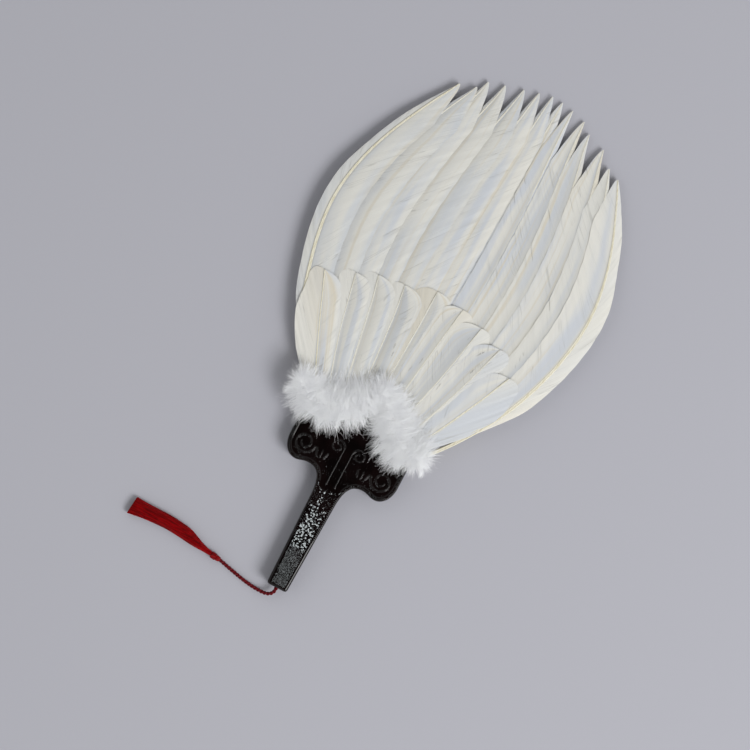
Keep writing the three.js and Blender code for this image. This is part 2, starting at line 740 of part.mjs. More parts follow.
function tasselBinding() {
  const end = clearance + tassel.headLength;
  const start = end - tassel.bindingLength;
  const bore = tassel.neckRadius + clearance;
  const shoulder = (tassel.bindingRadius - bore) / 2;
  return turned([
    [start, bore],
    [start, tassel.bindingRadius - shoulder],
    [start + shoulder, tassel.bindingRadius],
    [end - shoulder, tassel.bindingRadius],
    [end, tassel.bindingRadius - shoulder],
    [end, bore],
    [start, bore],
  ]);
}

function tasselSkirt() {
  const start = 2 * clearance + tassel.headLength;
  const rings = skirtShares.map(([place, wide, high]) => {
    const ring = [];
    for (let k = 0; k < tassel.ringPoints; k++) {
      const angle = (k / tassel.ringPoints) * 2 * Math.PI;
      const flute = 1 - tassel.fluteShare * (k % 2) * place;
      const across = tassel.skirtHalfWidth * wide * flute * Math.cos(angle);
      const up = tassel.skirtHalfHeight * high * flute * Math.sin(angle);
      const bow = tassel.bowWidth * through(bowShares, place);
      ring.push(new THREE.Vector3(start + place * tassel.skirtLength, across + bow, up));
    }
    return ring;
  });
  const centre = (ring) => ring[0].clone().lerp(ring[tassel.ringPoints / 2], 0.5);
  return loft(rings, centre(rings[0]), centre(rings[rings.length - 1]));
}

addPiece("tassel_head", tasselHead(), redThread, tasselPlace);
addPiece("tassel_binding", tasselBinding(), redThread, tasselPlace);
addPiece("tassel_skirt", tasselSkirt(), redThread, tasselPlace);

export default part;
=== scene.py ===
# %% [markdown]
# # A feather hand fan with a tassel
# The fan lies on its back on a table and is seen from straight above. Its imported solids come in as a
# fixed frame: they say where each feather, the handle and the tassel are. Every piece made here takes
# the place of one or more of those solids and shows what the real thing shows: barbs, strands of
# down, moulded ornament, twisted threads. Lengths are written in millimetres where they are measured,
# and made metres when a mesh is placed.

import math
from types import SimpleNamespace

import bpy
import numpy as np
from mathutils.kdtree import KDTree
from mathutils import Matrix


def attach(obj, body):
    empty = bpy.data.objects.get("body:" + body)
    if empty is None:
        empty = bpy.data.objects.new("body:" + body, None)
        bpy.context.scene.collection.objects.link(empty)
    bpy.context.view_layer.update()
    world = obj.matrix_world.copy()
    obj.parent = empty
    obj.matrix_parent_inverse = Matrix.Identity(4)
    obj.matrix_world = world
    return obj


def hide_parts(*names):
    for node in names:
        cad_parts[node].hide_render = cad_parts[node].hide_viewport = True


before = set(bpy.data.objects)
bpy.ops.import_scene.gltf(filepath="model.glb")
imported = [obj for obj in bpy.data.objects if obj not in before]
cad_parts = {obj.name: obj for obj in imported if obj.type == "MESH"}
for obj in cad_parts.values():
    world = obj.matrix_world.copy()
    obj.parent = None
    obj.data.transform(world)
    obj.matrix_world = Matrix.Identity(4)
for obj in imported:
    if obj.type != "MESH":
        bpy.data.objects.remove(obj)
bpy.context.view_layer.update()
bpy.ops.object.select_all(action="DESELECT")
MM = 0.001

# %% [markdown]
# ## Camera
# The picture was taken with the camera straight above the fan and turned, so that the handle points
# to the lower left. A long lens gives that flat view with almost no perspective. The frame's width on
# the table comes from the fan's own length, and from it follows how high the camera stands.

# %% Camera above the fan
frame_width = 0.531
lens = 200
film = 36
picture_turn = math.radians(28)
view_centre = (-0.009, 0.1207, 0.01)

bpy.ops.object.camera_add(
    location=(view_centre[0], view_centre[1], view_centre[2] + frame_width * lens / film),
    rotation=(0, 0, picture_turn),
)
camera = bpy.context.object
camera.data.lens = lens
camera.data.sensor_width = film
bpy.context.scene.camera = camera
print("camera height", round(camera.location.z, 3))

# %% [markdown]
# ## Table and light
# A plain pale table and two soft lamps. The first stands to the right of the fan and low enough for
# each feather to throw a thin shadow on the one below it. The second hangs behind the camera, where
# the glossy grip mirrors it. With the sky, they light a flat surface about as bright as its colour is
# written, so white feathers stay below pure white.


# %% A colour from its screen values
def colour(red, green, blue):
    """A colour written as on a screen, from 0 to 255, as the linear values that a shader takes."""
    shares = [value / 255 for value in (red, green, blue)]
    linear = [s / 12.92 if s <= 0.04045 else ((s + 0.055) / 1.055) ** 2.4 for s in shares]
    return (*linear, 1.0)


print("middle grey", round(colour(128, 128, 128)[0], 3))


# %% Table
table_size = 6
below_fan = 0.0002
bpy.ops.mesh.primitive_plane_add(size=table_size, location=(0, 0.12, -below_fan))
table = bpy.context.object
table.name = "table"
pale_table = bpy.data.materials.new("pale_table")
pale_table.use_nodes = True
for socket, value in (("Base Color", colour(178, 178, 186)), ("Roughness", 0.85)):
    pale_table.node_tree.nodes["Principled BSDF"].inputs[socket].default_value = value
table.data.materials.append(pale_table)
print("table", table_size, "m wide,", below_fan, "m below the fan")

# %% Lamps
bpy.context.scene.view_settings.view_transform = "Standard"


def soft_lamp(name, place, aim, size, power):
    """A square soft lamp at place that shines towards aim."""
    bpy.ops.object.light_add(type="AREA", location=place)
    lamp = bpy.context.object
    lamp.name = name
    lamp.data.size = size
    lamp.data.energy = power
    towards = lamp.location.copy()
    towards.x, towards.y, towards.z = (a - b for a, b in zip(aim, place))
    lamp.rotation_euler = towards.to_track_quat("-Z", "Y").to_euler()
    return lamp


side_lamp = soft_lamp("side_lamp", place=(2.1, -0.5, 2.3), aim=(0, 0.15, 0), size=1.5, power=67)
grip_lamp = soft_lamp("grip_lamp", place=(0.013, -0.33, 4.3), aim=(0, -0.02, 0), size=0.25, power=4.6)
grip_lamp.data.color = (0.9, 0.98, 1)
print("lamps", side_lamp.name, grip_lamp.name)

# %% [markdown]
# ## Shader maths
# A finish is a small network of nodes. Writing it node by node is long, so one class wraps a socket:
# sums and products of wrapped sockets add their own Math nodes, and one method adds any other node
# from its type, its settings and its inputs.


# %% A wire of a shader
class Wire:
    """An output socket in a material. Arithmetic on wires adds Math nodes to the material."""

    def __init__(self, tree, socket=None):
        self.tree = tree
        self.socket = socket

    def node(self, kind, settings=None, sockets=None, out=0):
        """Adds a node from its type, its settings and its sockets' values or wires. Gives one output."""
        made = self.tree.nodes.new("ShaderNode" + kind)
        for name, value in (settings or {}).items():
            setattr(made, name, value)
        for name, value in (sockets or {}).items():
            if isinstance(value, Wire):
                self.tree.links.new(value.socket, made.inputs[name])
            else:
                made.inputs[name].default_value = value
        return Wire(self.tree, made.outputs[out])

    def maths(self, operation, first, second=0.0):
        return self.node("Math", {"operation": operation}, {0: first, 1: second})

    def __add__(self, other):
        return self.maths("ADD", self, other)

    __radd__ = __add__

    def __sub__(self, other):
        return self.maths("SUBTRACT", self, other)

    def __rsub__(self, other):
        return self.maths("SUBTRACT", other, self)

    def __mul__(self, other):
        return self.maths("MULTIPLY", self, other)

    __rmul__ = __mul__

    def __abs__(self):
        return self.maths("ABSOLUTE", self)

    def clamped(self, low, high):
        """From 0 where this is low to 1 where it is high, smoothly."""
        ends = {"Value": self, "From Min": low, "From Max": high}
        return self.node("MapRange", {"interpolation_type": "SMOOTHSTEP"}, ends)

    def blend(self, first, second):
        """The colour that this share makes of two colours."""
        return self.node("Mix", {"data_type": "RGBA"}, {0: self, 6: first, 7: second}, 2)

    def vector(self, x, y, z=0.0):
        return self.node("CombineXYZ", {}, {0: x, 1: y, 2: z})

    def part(self, axis):
        """One part of this vector: 0 for x, 1 for y, 2 for z."""
        return self.node("SeparateXYZ", {}, {0: self}, axis)

    def place(self):
        """The place on the piece, in metres."""
        return self.node("TexCoord", out=3)

    def scaled(self, scale):
        """This vector, multiplied by a scale for each axis."""
        return self.node("Mapping", {}, {"Vector": self, "Scale": scale})

    def noise(self, vector, scale=1.0, detail=2.0, rough=0.5):
        sockets = {"Vector": vector, "Scale": scale, "Detail": detail, "Roughness": rough}
        return self.node("TexNoise", {}, sockets)


print("wire ready")


# %% Finishes from wires
def new_finish(name, **plain):
    """A material with plain values on its shader's own sockets, a wire to build on, and its shader."""
    made = bpy.data.materials.new(name)
    made.use_nodes = True
    shader = made.node_tree.nodes["Principled BSDF"]
    for socket, value in plain.items():
        shader.inputs[socket.replace("_", " ")].default_value = value
    return made, Wire(made.node_tree), shader


def wear(wire, shader, **links):
    """Links wires to the shader's sockets."""
    for socket, value in links.items():
        wire.tree.links.new(value.socket, shader.inputs[socket.replace("_", " ")])


def bumped(wire, height, depth, strength=1.0):
    """A surface normal from a height share, where depth is how deep a full share is, in metres."""
    return wire.node("Bump", {}, {"Height": height, "Distance": depth, "Strength": strength})


def let_light_through(wire, shader, tint, share):
    """Mixes in a shader that lets light through a thin piece, by this share."""
    thin = wire.node("BsdfTranslucent", {}, {"Color": tint})
    both = wire.node("MixShader", {}, {0: share, 1: Wire(wire.tree, shader.outputs[0]), 2: thin})
    wire.tree.links.new(both.socket, wire.tree.nodes["Material Output"].inputs["Surface"])


def fuzzy_thread(name, dark, light, fineness, detail, depth, strength, **plain):
    """Thread whose colour wanders between two tones together with its fuzz."""
    made, wire, shader = new_finish(name, **plain)
    fuzz = wire.noise(wire.place(), fineness, detail)
    tint = fuzz.clamped(0.3, 0.7).blend(dark, light)
    wear(wire, shader, Base_Color=tint, Normal=bumped(wire, fuzz, depth, strength))
    return made


print("finish helpers ready")

# %% [markdown]
# ### Sky
# A pale sky fills the shadows. The camera and the ceiling above it are dark in a real studio, and
# black plastic that lies flat mirrors just them. So the sky is dark in a patch straight overhead,
# which takes little from the light on the feathers, but keeps the glossy handle black.

# %% Sky with a dark patch overhead
sky_strength = 0.61
patch_starts, patch_is_full = 0.78, 0.97
sky = bpy.data.worlds.new("pale_sky")
sky.use_nodes = True
bpy.context.scene.world = sky
wire = Wire(sky.node_tree)
upward = wire.node("TexCoord").part(2)
tint = upward.clamped(patch_starts, patch_is_full).blend((1, 1, 1, 1), (0.02, 0.02, 0.02, 1))
background = sky.node_tree.nodes["Background"]
background.inputs["Strength"].default_value = sky_strength
sky.node_tree.links.new(tint.socket, background.inputs["Color"])
print("sky", sky_strength)

# %% [markdown]
# ## Shaping a grid
# Vanes, shafts, threads and strands are all sheets or tubes that follow a formula. Each starts as a
# grid primitive, whose points are then moved to their places. A grid that is rolled up into a tube
# has a seam, so its doubles are merged and its open ends are filled.


# %% A grid and its points
def points_of(piece):
    flat = np.empty(len(piece.data.vertices) * 3)
    piece.data.vertices.foreach_get("co", flat)
    return flat.reshape(-1, 3)


def move_points(piece, points):
    piece.data.vertices.foreach_set("co", np.asarray(points, float).ravel())
    piece.data.update()


def shaped_grid(name, columns, rows, place):
    """A grid primitive whose points go to place(u, v), with u across it and v along it, from 0 to 1."""
    bpy.ops.mesh.primitive_grid_add(x_subdivisions=columns, y_subdivisions=rows, size=1)
    piece = bpy.context.object
    piece.name = piece.data.name = name
    u, v = points_of(piece)[:, :2].T + 0.5
    move_points(piece, place(u, v))
    return piece


def closed_up(piece, threshold=1e-7):
    """Merges doubles, fills open ends and turns the faces outwards."""
    bpy.ops.object.mode_set(mode="EDIT")
    bpy.ops.mesh.select_all(action="SELECT")
    bpy.ops.mesh.remove_doubles(threshold=threshold)
    bpy.ops.mesh.fill_holes(sides=64)
    bpy.ops.mesh.select_all(action="SELECT")
    bpy.ops.mesh.normals_make_consistent(inside=False)
    bpy.ops.object.mode_set(mode="OBJECT")
    return piece


def applied(piece, kind, **settings):
    """Applies one modifier with these settings."""
    bpy.context.view_layer.objects.active = piece
    change = piece.modifiers.new("change", kind)
    for name, value in settings.items():
        setattr(change, name, value)
    bpy.ops.object.modifier_apply(modifier="change")


def on_faces(piece, chosen, operator, **settings):
    """Runs one mesh operator on the chosen faces of a piece."""
    for part in (piece.data.vertices, piece.data.edges):
        part.foreach_set("select", np.zeros(len(part), bool))
    piece.data.polygons.foreach_set("select", chosen)
    bpy.context.view_layer.objects.active = piece
    bpy.context.tool_settings.mesh_select_mode = (False, False, True)
    bpy.ops.object.mode_set(mode="EDIT")
    operator(**settings)
    bpy.ops.object.mode_set(mode="OBJECT")
    bpy.context.tool_settings.mesh_select_mode = (True, False, False)


print("grid helpers ready")


# %% Tubes
def length_along(path):
    """How far along a path each of its points lies."""
    return np.concatenate([[0], np.cumsum(np.linalg.norm(np.diff(path, axis=0), axis=1))])


def frames_along(path):
    """Two directions across a path at each of its points, which turn as little as they can."""
    along = np.gradient(path, axis=-2)
    along /= np.linalg.norm(along, axis=-1, keepdims=True)
    first = np.cross(along, [0.0, 0.0, 1.0])
    first /= np.linalg.norm(first, axis=-1, keepdims=True)
    return first, np.cross(first, along)


def tube(name, path, radius, sides, squash=1.0):
    """A closed tube along a path, whose radius may change along it. Squash flattens it in height."""
    path = np.asarray(path, float)
    radius = np.broadcast_to(radius, len(path))
    first, second = frames_along(path)

    def place(u, v):
        k = np.rint(v * (len(path) - 1)).astype(int)
        angle = 2 * np.pi * np.rint(u * sides) / sides
        across = np.cos(angle)[:, None] * first[k] + squash * np.sin(angle)[:, None] * second[k]
        return path[k] + radius[k, None] * across

    return closed_up(shaped_grid(name, sides, len(path) - 1, place))


print("tube helpers ready")


# %% Many copies of one model
def piece_of_copies(name, model, placed):
    """One piece made of copies of a model, each with its points in placed. Uses the model up."""
    count, size = placed.shape[:2]
    faces = [list(face.vertices) for face in model.data.polygons]
    every = [[corner + k * size for corner in face] for k in range(count) for face in faces]
    mesh = bpy.data.meshes.new(name)
    mesh.from_pydata(placed.reshape(-1, 3).tolist(), [], every)
    piece = bpy.data.objects.new(name, mesh)
    bpy.context.collection.objects.link(piece)
    bpy.data.objects.remove(model)
    return piece


def tubes_along(name, lines, radii, sides, squash=1.0):
    """One straight tube, copied along each line of points. Squash flattens it in height."""
    steps = lines.shape[1] - 1
    straight = np.zeros((steps + 1, 3))
    straight[:, 0] = np.linspace(0, 1, steps + 1)
    model_radius = 0.01
    model = tube(name + "_model", straight, model_radius, sides)
    points = points_of(model)
    station = np.rint(points[:, 0] * steps).astype(int)
    first, second = frames_along(lines)
    ring = first[:, station] * -points[:, 1, None] + second[:, station] * squash * points[:, 2, None]
    radii = np.broadcast_to(radii, lines.shape[:2])[:, station, None]
    return piece_of_copies(name, model, lines[:, station] + ring * radii / model_radius)


print("copy helpers ready")


# %% Joining and finishing pieces
def joined(name, pieces):
    """Several pieces as one, with the name and the origin of the first."""
    bpy.ops.object.select_all(action="DESELECT")
    for piece in pieces:
        piece.select_set(True)
    bpy.context.view_layer.objects.active = pieces[0]
    bpy.ops.object.join()
    pieces[0].name = pieces[0].data.name = name
    return pieces[0]


def settled(piece, finish, body, slot, *nodes, angle=60):
    """Shades a piece, gives it its finish if it has none, and ties it to its body and solids. Its slot is
    not used.
    """
    bpy.ops.object.select_all(action="DESELECT")
    piece.select_set(True)
    bpy.context.view_layer.objects.active = piece
    bpy.ops.object.shade_smooth_by_angle(angle=math.radians(angle))
    if not piece.data.materials:
        piece.data.materials.append(finish)
    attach(piece, body)
    if nodes:
        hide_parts(*nodes)
    piece.select_set(False)
    return piece


print("piece helpers ready")

# %% [markdown]
# ## Cord
# The cord is two strands of red thread laid round each other. It leaves the hole in the end of the
# grip, comes down to the table and runs to the tassel. Its route is the solids' own, so that the
# visible cord lies where the physical one does. Each strand is a tube along a helix round that route.

# %% Smooth curves
def smooth_route(places, count):
    """A smooth curve through places, as count points that are equally far apart."""
    places = np.asarray(places, float)
    knots = np.concatenate([[0], np.cumsum(np.sqrt(np.linalg.norm(np.diff(places, axis=0), axis=1)))])
    padded = np.vstack([2 * places[0] - places[1], places, 2 * places[-1] - places[-2]])
    times = np.concatenate([[2 * knots[0] - knots[1]], knots, [2 * knots[-1] - knots[-2]]])
    at = np.linspace(knots[0], knots[-1], 12 * len(places))
    k = np.clip(np.searchsorted(times, at, side="right") - 1, 1, len(times) - 3)
    slope = [
        (padded[k + j + 1] - padded[k + j - 1]) / (times[k + j + 1] - times[k + j - 1])[:, None]
        for j in (0, 1)
    ]
    span = (times[k + 1] - times[k])[:, None]
    s = (at - times[k])[:, None] / span
    curve = (
        (2 * s**3 - 3 * s**2 + 1) * padded[k]
        + (s**3 - 2 * s**2 + s) * span * slope[0]
        + (3 * s**2 - 2 * s**3) * padded[k + 1]
        + (s**3 - s**2) * span * slope[1]
    )
    length = length_along(curve)
    even = np.linspace(0, length[-1], count)
    return np.stack([np.interp(even, length, curve[:, axis]) for axis in range(3)], 1)


print("curve helper ready")


# %% Strands laid round each other
pressed_strand = 1.08
end_share = 0.6


def laid_strands(name, route, diameter, lay, strands=2):
    """Tubes along helices, one turn every lay. Over its last diameter the route's end is rounded off."""
    first, second = frames_along(route)
    length = length_along(route)
    strand_radius = diameter / 4 * pressed_strand
    to_end = np.clip((length[-1] - length) / diameter, 0, 1)
    rounding = end_share + (1 - end_share) * np.sqrt(1 - (1 - to_end) ** 2)
    offset = (diameter / 2 - strand_radius) * rounding[:, None]
    made = []
    for k in range(strands):
        angle = 2 * np.pi * (length / lay + k / strands)
        across = np.cos(angle)[:, None] * first + np.sin(angle)[:, None] * second
        made.append(tube(name, route + offset * across, strand_radius * rounding, 10))
    return joined(name, made)


print("strand helper ready")

# %% Cord
grip_hold = 45
cord_diameter = 2.8
cord_lay = 5.2
cord_route = [
    [0, -0.8, 6.5], [0, -2.3, 6.45], [-0.5, -4.3, 6.1], [-1.9, -6, 5.4],
    [-4.1, -7.2, 4.5], [-6.9, -7.8, 3.5], [-10.3, -7.9, 2.6], [-14, -7.8, 1.85],
    [-18, -7.4, 1.55], [-22.2, -6.8, 1.5], [-26.5, -6.0, 1.5], [-30.8, -5.1, 1.5],
    [-35, -4.15, 1.6], [-39, -3.2, 1.95], [-42.4, -2.4, 2.45], [-45.1, -1.8, 2.8],
]
cord_line = smooth_route(np.array(cord_route) - [0, grip_hold, 0], 150) * MM
cord = laid_strands("cord", cord_line, cord_diameter * MM, cord_lay * MM)

# %% [markdown]
# ## Tassel
# Red threads are folded over the end of the cord, bound round the neck and left to lie in a skirt,
# which is flattened by its own weight and spreads a little towards its straight cut end. One thread
# is modelled, then copied some hundred times along its own line in the skirt, so the end shows cut
# threads. The skirt's threads start under the binding, which is one thread wound round them. The head
# shows the same threads folded over, and closes round the end of the cord, so no gap opens when the
# tassel swings.

# %% Values along the tassel
tassel_rest = 2.85
tassel_heading = math.radians(174.5)
tassel_gap = 0.3
head_length = 6.5
binding_length = 4
skirt_length = 66
skirt_half_width = 7
skirt_half_height = 2.7
skirt_bow = -2.4
skirt_shares = [
    [0, 0.25, 0.65], [0.06, 0.27, 0.68], [0.14, 0.36, 0.82], [0.24, 0.55, 0.94], [0.34, 0.69, 1],
    [0.5, 0.72, 1], [0.7, 0.77, 0.98], [0.87, 0.87, 0.95], [1, 1, 0.9],
]
bow_shares = [
    [0, 0.1], [0.14, 0.23], [0.245, 0.54], [0.35, 0.95], [0.46, 1], [0.58, 0.92], [0.79, 0.2], [1, -0.75],
]
print("skirt", skirt_length, "mm long,", 2 * skirt_half_width, "mm wide at its end")


# %% Places along the tassel
def through(table, t):
    """Values at t of a smooth curve through a table of [place, value]."""
    places, values = np.array(table, float).T
    t = np.asarray(t, float)
    last = len(places) - 1
    ends = [(max(k - 1, 0), min(k + 1, last)) for k in range(last + 1)]
    slopes = np.array([(values[b] - values[a]) / (places[b] - places[a]) for a, b in ends])
    i = np.clip(np.searchsorted(places, t, side="right") - 1, 0, last - 1)
    h = places[i + 1] - places[i]
    u = np.clip((t - places[i]) / h, 0, 1)
    rise = values[i + 1] - values[i]
    bends = (1 - u) * (slopes[i] * h - rise) + u * (rise - slopes[i + 1] * h)
    return values[i] + u * rise + u * (1 - u) * bends


def from_tassel(points):
    """Points along the tassel's own line, in mm, as places on the table in metres."""
    x, y, z = np.moveaxis(np.asarray(points, float), -1, 0)
    cos, sin = math.cos(tassel_heading), math.sin(tassel_heading)
    end = cord_line[-1] / MM
    return np.stack([end[0] + x * cos - y * sin, end[1] + x * sin + y * cos, tassel_rest + z], -1) * MM


def sunflower(count):
    """Places spread evenly over a round area of radius 1, as distance and angle."""
    k = np.arange(count) + 0.5
    return np.sqrt(k / count), k * math.pi * (3 - math.sqrt(5))


print("tassel heads", round(math.degrees(tassel_heading), 1), "degrees")

# %% Skirt of threads
draw = np.random.default_rng(11)
thread_radius = 0.24
thread_count = 430
thread_steps = 22
under_binding = 1.4

distance, angle = sunflower(thread_count)
share = np.linspace(0, 1, thread_steps + 1)
wide, high = (through([[row[0], row[k]] for row in skirt_shares], share) for k in (1, 2))
draw.normal(0, 1, (2, thread_count, 1))  # passed over: the threads lie well with the draws after it
waves = draw.uniform(0, 2 * np.pi, (2, thread_count, 1))
loose = draw.normal(0, 1, (2, thread_count, 1))[0]
reach = skirt_length * (1 - 0.02 * draw.random(thread_count) ** 2)
across = distance[:, None] * np.cos(angle)[:, None] + 0.03 * np.sin(7 * share + waves[0]) * (0.4 + share)
above = distance[:, None] * np.sin(angle)[:, None] + 0.05 * np.sin(6 * share + waves[1]) * share
across = across * (skirt_half_width * wide - thread_radius) + 0.25 * loose * share**3
above = np.clip(above, -1, 1) * (skirt_half_height * high - thread_radius)
along = head_length - under_binding + share[None] * (reach[:, None] + 2 * tassel_gap + under_binding)
bow = skirt_bow * through(bow_shares, share)
lines = from_tassel(np.stack([along, across + bow, above], -1))

skirt = tubes_along("tassel_threads", lines, thread_radius * MM, 4)
print("skirt", len(skirt.data.polygons), "faces")

# %% Folded head
folds = 18
fold_radius = 0.34
head_middle_radius = 1.74
fold_shares = np.array([
    [-0.3, 0.6], [0.0, 0.82], [0.4, 0.94], [0.8, 1.0], [1.3, 0.85], [1.8, 0.78], [2.7, 0.76],
])
bare = head_length - binding_length - tassel_gap
head_parts = []
for k in range(folds):
    x = tassel_gap + fold_shares[:, 0] * bare
    radius = head_middle_radius * fold_shares[:, 1]
    twist = 2 * math.pi * k / folds + 0.12 * fold_shares[:, 0]
    path = np.stack([x, radius * np.cos(twist), radius * np.sin(twist)], 1)
    head_parts.append(tube("fold", from_tassel(smooth_route(path, 14)), fold_radius * MM, 6))
tassel_head = joined("tassel_folds", head_parts)
print("head", len(tassel_head.data.polygons), "faces")

# %% Wound binding
turns = 8
winding_thread = 0.27
winding_inset = 0.26
winding_radius = 2.5 - winding_inset
wind = np.linspace(0, 1, 220)
wind_angle = 2 * np.pi * turns * wind
wind_start = tassel_gap + head_length - binding_length + winding_inset
wound = np.stack([
    wind_start + wind * (binding_length - 2 * winding_inset),
    winding_radius * np.cos(wind_angle),
    winding_radius * np.sin(wind_angle),
], 1)
binding = tube("tassel_winding", from_tassel(wound), winding_thread * MM, 8)
print("binding", len(binding.data.polygons), "faces")

# %% [markdown]
# ### Red thread
# Rayon thread is a deep red with a soft shine along it. Its colour wanders a little from strand to
# strand in darker and lighter streaks, and the darker ones stand for painted shade where the strands
# lie against each other. A noise that is stretched along the tassel gives that.

# %% Red thread finish
red_thread, wire, shader = new_finish("red_thread", Roughness=0.42, Specular_IOR_Level=0.15)
place = wire.place()
# Streaks of darker red along the tassel: random tone that also stands for painted shade between strands.
streak = wire.noise(place.scaled((120, 1400, 1400)), 1.0, 2.0)
fuzz = wire.noise(place, 5200.0, 2.0)
tint = streak.clamped(0.3, 0.7).blend(colour(96, 1, 4), colour(152, 3, 8))
wear(wire, shader, Base_Color=tint, Normal=bumped(wire, fuzz + streak, 0.00008, 0.5))

dark_red_cord = fuzzy_thread(
    "dark_red_cord", dark=colour(78, 5, 14), light=colour(116, 8, 20),
    fineness=2600.0, detail=3.0, depth=0.00012, strength=0.6, Roughness=0.5, Specular_IOR_Level=0.15,
)
print("red finishes ready")

# %% Finished cord and tassel
settled(cord, dark_red_cord, "cord", "cord", "tassel_cord")
settled(tassel_head, red_thread, "tassel", "tassel_thread", "tassel_head")
settled(binding, red_thread, "tassel", "tassel_thread", "tassel_binding")
settled(skirt, red_thread, "tassel", "tassel_thread", "tassel_skirt")
print("tassel finished")

# %% [markdown]
# ## Blade of feathers
# The fan's blade is one gently arched surface, and every feather follows it. A place on the blade is
# a share of its length, from the floor of the socket to the tips, and a spread from -1 at its left
# edge to 1 at its right. The feathers lie like shingles: the outer one on top on both halves, and one
# near the middle below all others. The same tables and formulas made the solids, so each feather made
# here lies where its solid is. Only the coverts' tips are a little fuller than the solids', and the
# last covert's outer vane is a little wider.

# %% The blade's surface
grip_length = 87
blade_root = grip_length + 14
blade_length = 299
blade_half_width = 100.3
lean_width = 11.5
arch_height = 3
mid_height = 6.5
layer_half_gap = 0.6
between = 0.3
width_shares = [
    [0, 0.295], [0.06, 0.39], [0.1, 0.475], [0.15, 0.588], [0.2, 0.683], [0.25, 0.765], [0.3, 0.835],
    [0.37, 0.907], [0.45, 0.968], [0.54, 1], [0.63, 0.98],
    [0.73, 0.907], [0.84, 0.778], [0.92, 0.668], [1, 0.588],
]
lean_shares = [[0, 0], [0.1, 0.1], [0.36, 0.43], [0.52, 0.53], [0.84, 0.82], [1, 1]]
arch_shares = [
    [0, 0], [0.08, 0], [0.15, 0.04], [0.2, 0.42], [0.27, 0.86], [0.34, 1], [0.55, 0.85], [0.78, -0.2],
    [1, -1.68],
]


def mix(first, second, share):
    return first + (second - first) * share


def smoothed(low, high, t):
    """From 0 at low to 1 at high, with a smooth start and end."""
    share = np.clip((np.asarray(t, float) - low) / (high - low), 0, 1)
    return share * share * (3 - 2 * share)


def blade_width(t):
    return blade_half_width * through(width_shares, t)


def blade_x(t, spread):
    return lean_width * through(lean_shares, t) + spread * blade_width(t)


print("blade", blade_length, "mm long,", 2 * blade_half_width, "mm between the outer shafts")

# %% Two banks of feathers
flight = SimpleNamespace(
    name="flight", count=14, lowest=8, first=-1, last=1, shingle=1, quill=1.6, fine=0.4, rise=0.45,
    tip_length=35, tip_round=0.68, vane_start=0.15, vane_full=0.33, narrow_from=0.6, narrow_to=0.72,
    narrow=[0.75] * 14, shift_from=0.62, rows=190, columns=8, first_row=0.12, droop=0.62, tip_sink=0,
    tips=[0.922, 0.934, 0.958, 0.969, 0.981, 0.991, 0.999, 0.997, 0.991, 0.981, 0.96, 0.943, 0.91, 0.896],
    inner=[1.27, 1.45, 1.38, 1.4, 1.37, 1.28, 1.12, 0.85, 0.8, 0.92, 0.95, 1.15, 1.1, 1.32],
    outer=[0.5, 0.45, 0.42, 0.4, 0.42, 0.45, 0.42, 0.85, 0.42, 0.4, 0.45, 0.42, 0.45, 0.68],
    shift=[0.33, 0.35, -0.3, -0.16, 0.16, 0.26, 0.3, 0.2, 0.2, 0.35, 0.05, 0.4, 0.1, -0.2],
)
covert = SimpleNamespace(
    name="covert", count=9, lowest=5, first=-0.81, last=0.745, shingle=0.75, quill=0.7, fine=0.3,
    rise=0.3, tip_length=7, tip_round=0.27, vane_start=0.06, vane_full=0.19, narrow_from=0.24,
    narrow_to=0.37, narrow=[0.5, 1, 1, 1, 1, 1, 1, 1, 0.5], shift_from=0.5, rows=90, columns=9,
    first_row=0.06, droop=0.65, tip_sink=0.45,
    tips=[0.382, 0.41, 0.43, 0.438, 0.46, 0.45, 0.432, 0.408, 0.358],
    inner=[0.88, 0.86, 0.84, 0.88, 0.77, 0.75, 0.91, 0.88, 0.91],
    outer=[1.3, 0.64, 0.62, 0.59, 0.77, 0.62, 0.59, 0.64, 1.34],
    shift=[-0.35, -0.12, -0.27, -0.2, 0, 0.17, 0.13, 0.2, 0.24],
)
print(flight.count, "flight feathers and", covert.count, "coverts on each side")


# %% Where a feather lies
room_over_vane = 0.2


def shaft_radius(bank, t, tip):
    return mix(bank.quill, bank.fine, np.minimum(t / tip, 1))


def shaft_top(bank, t, tip):
    radius = shaft_radius(bank, t, tip)
    return mix(radius, np.minimum(radius, bank.rise), smoothed(0, bank.vane_start, t))


def shaft_bottom(bank, t, tip):
    return 2 * shaft_radius(bank, t, tip) - shaft_top(bank, t, tip)


def flight_level(t):
    """Height of the flight feathers' vanes above the middle of the blade."""
    return layer_half_gap + shaft_bottom(flight, t, 1)


def covert_level(t):
    edge = flight.shingle * max(flight.inner) * smoothed(flight.vane_start, flight.vane_full, t)
    top = flight_level(t) + np.maximum(edge, shaft_top(flight, t, 1)) + room_over_vane
    return top + between + shaft_bottom(covert, t, max(covert.tips))


flight.level = flight_level
covert.level = covert_level


def on_feather(bank, index, face, t, offset, height):
    """Places on a feather: t along the blade, offset in mm from the shaft, height in mm over the vane."""
    pitch = (bank.last - bank.first) / (bank.count - 1)
    bend = np.clip((t / bank.tips[index - 1] - bank.shift_from) / (1 - bank.shift_from), 0, 1)
    place = index + bank.shift[index - 1] * bend**2 + offset / (pitch * blade_width(t))
    if index == bank.lowest:
        lift = -bank.shingle * np.abs(place - index)
    else:
        lift = bank.shingle * (place - index if index < bank.lowest else index - place)
    level = bank.level(t) + smoothed(0, bank.vane_start, t) * lift + height
    arch = mid_height + arch_height * through(arch_shares, t)
    x = blade_x(t, bank.first + pitch * (place - 1))
    return np.stack([x, blade_root + t * blade_length - grip_hold, arch + face * level], -1) * MM


print("feathers placed by one formula")

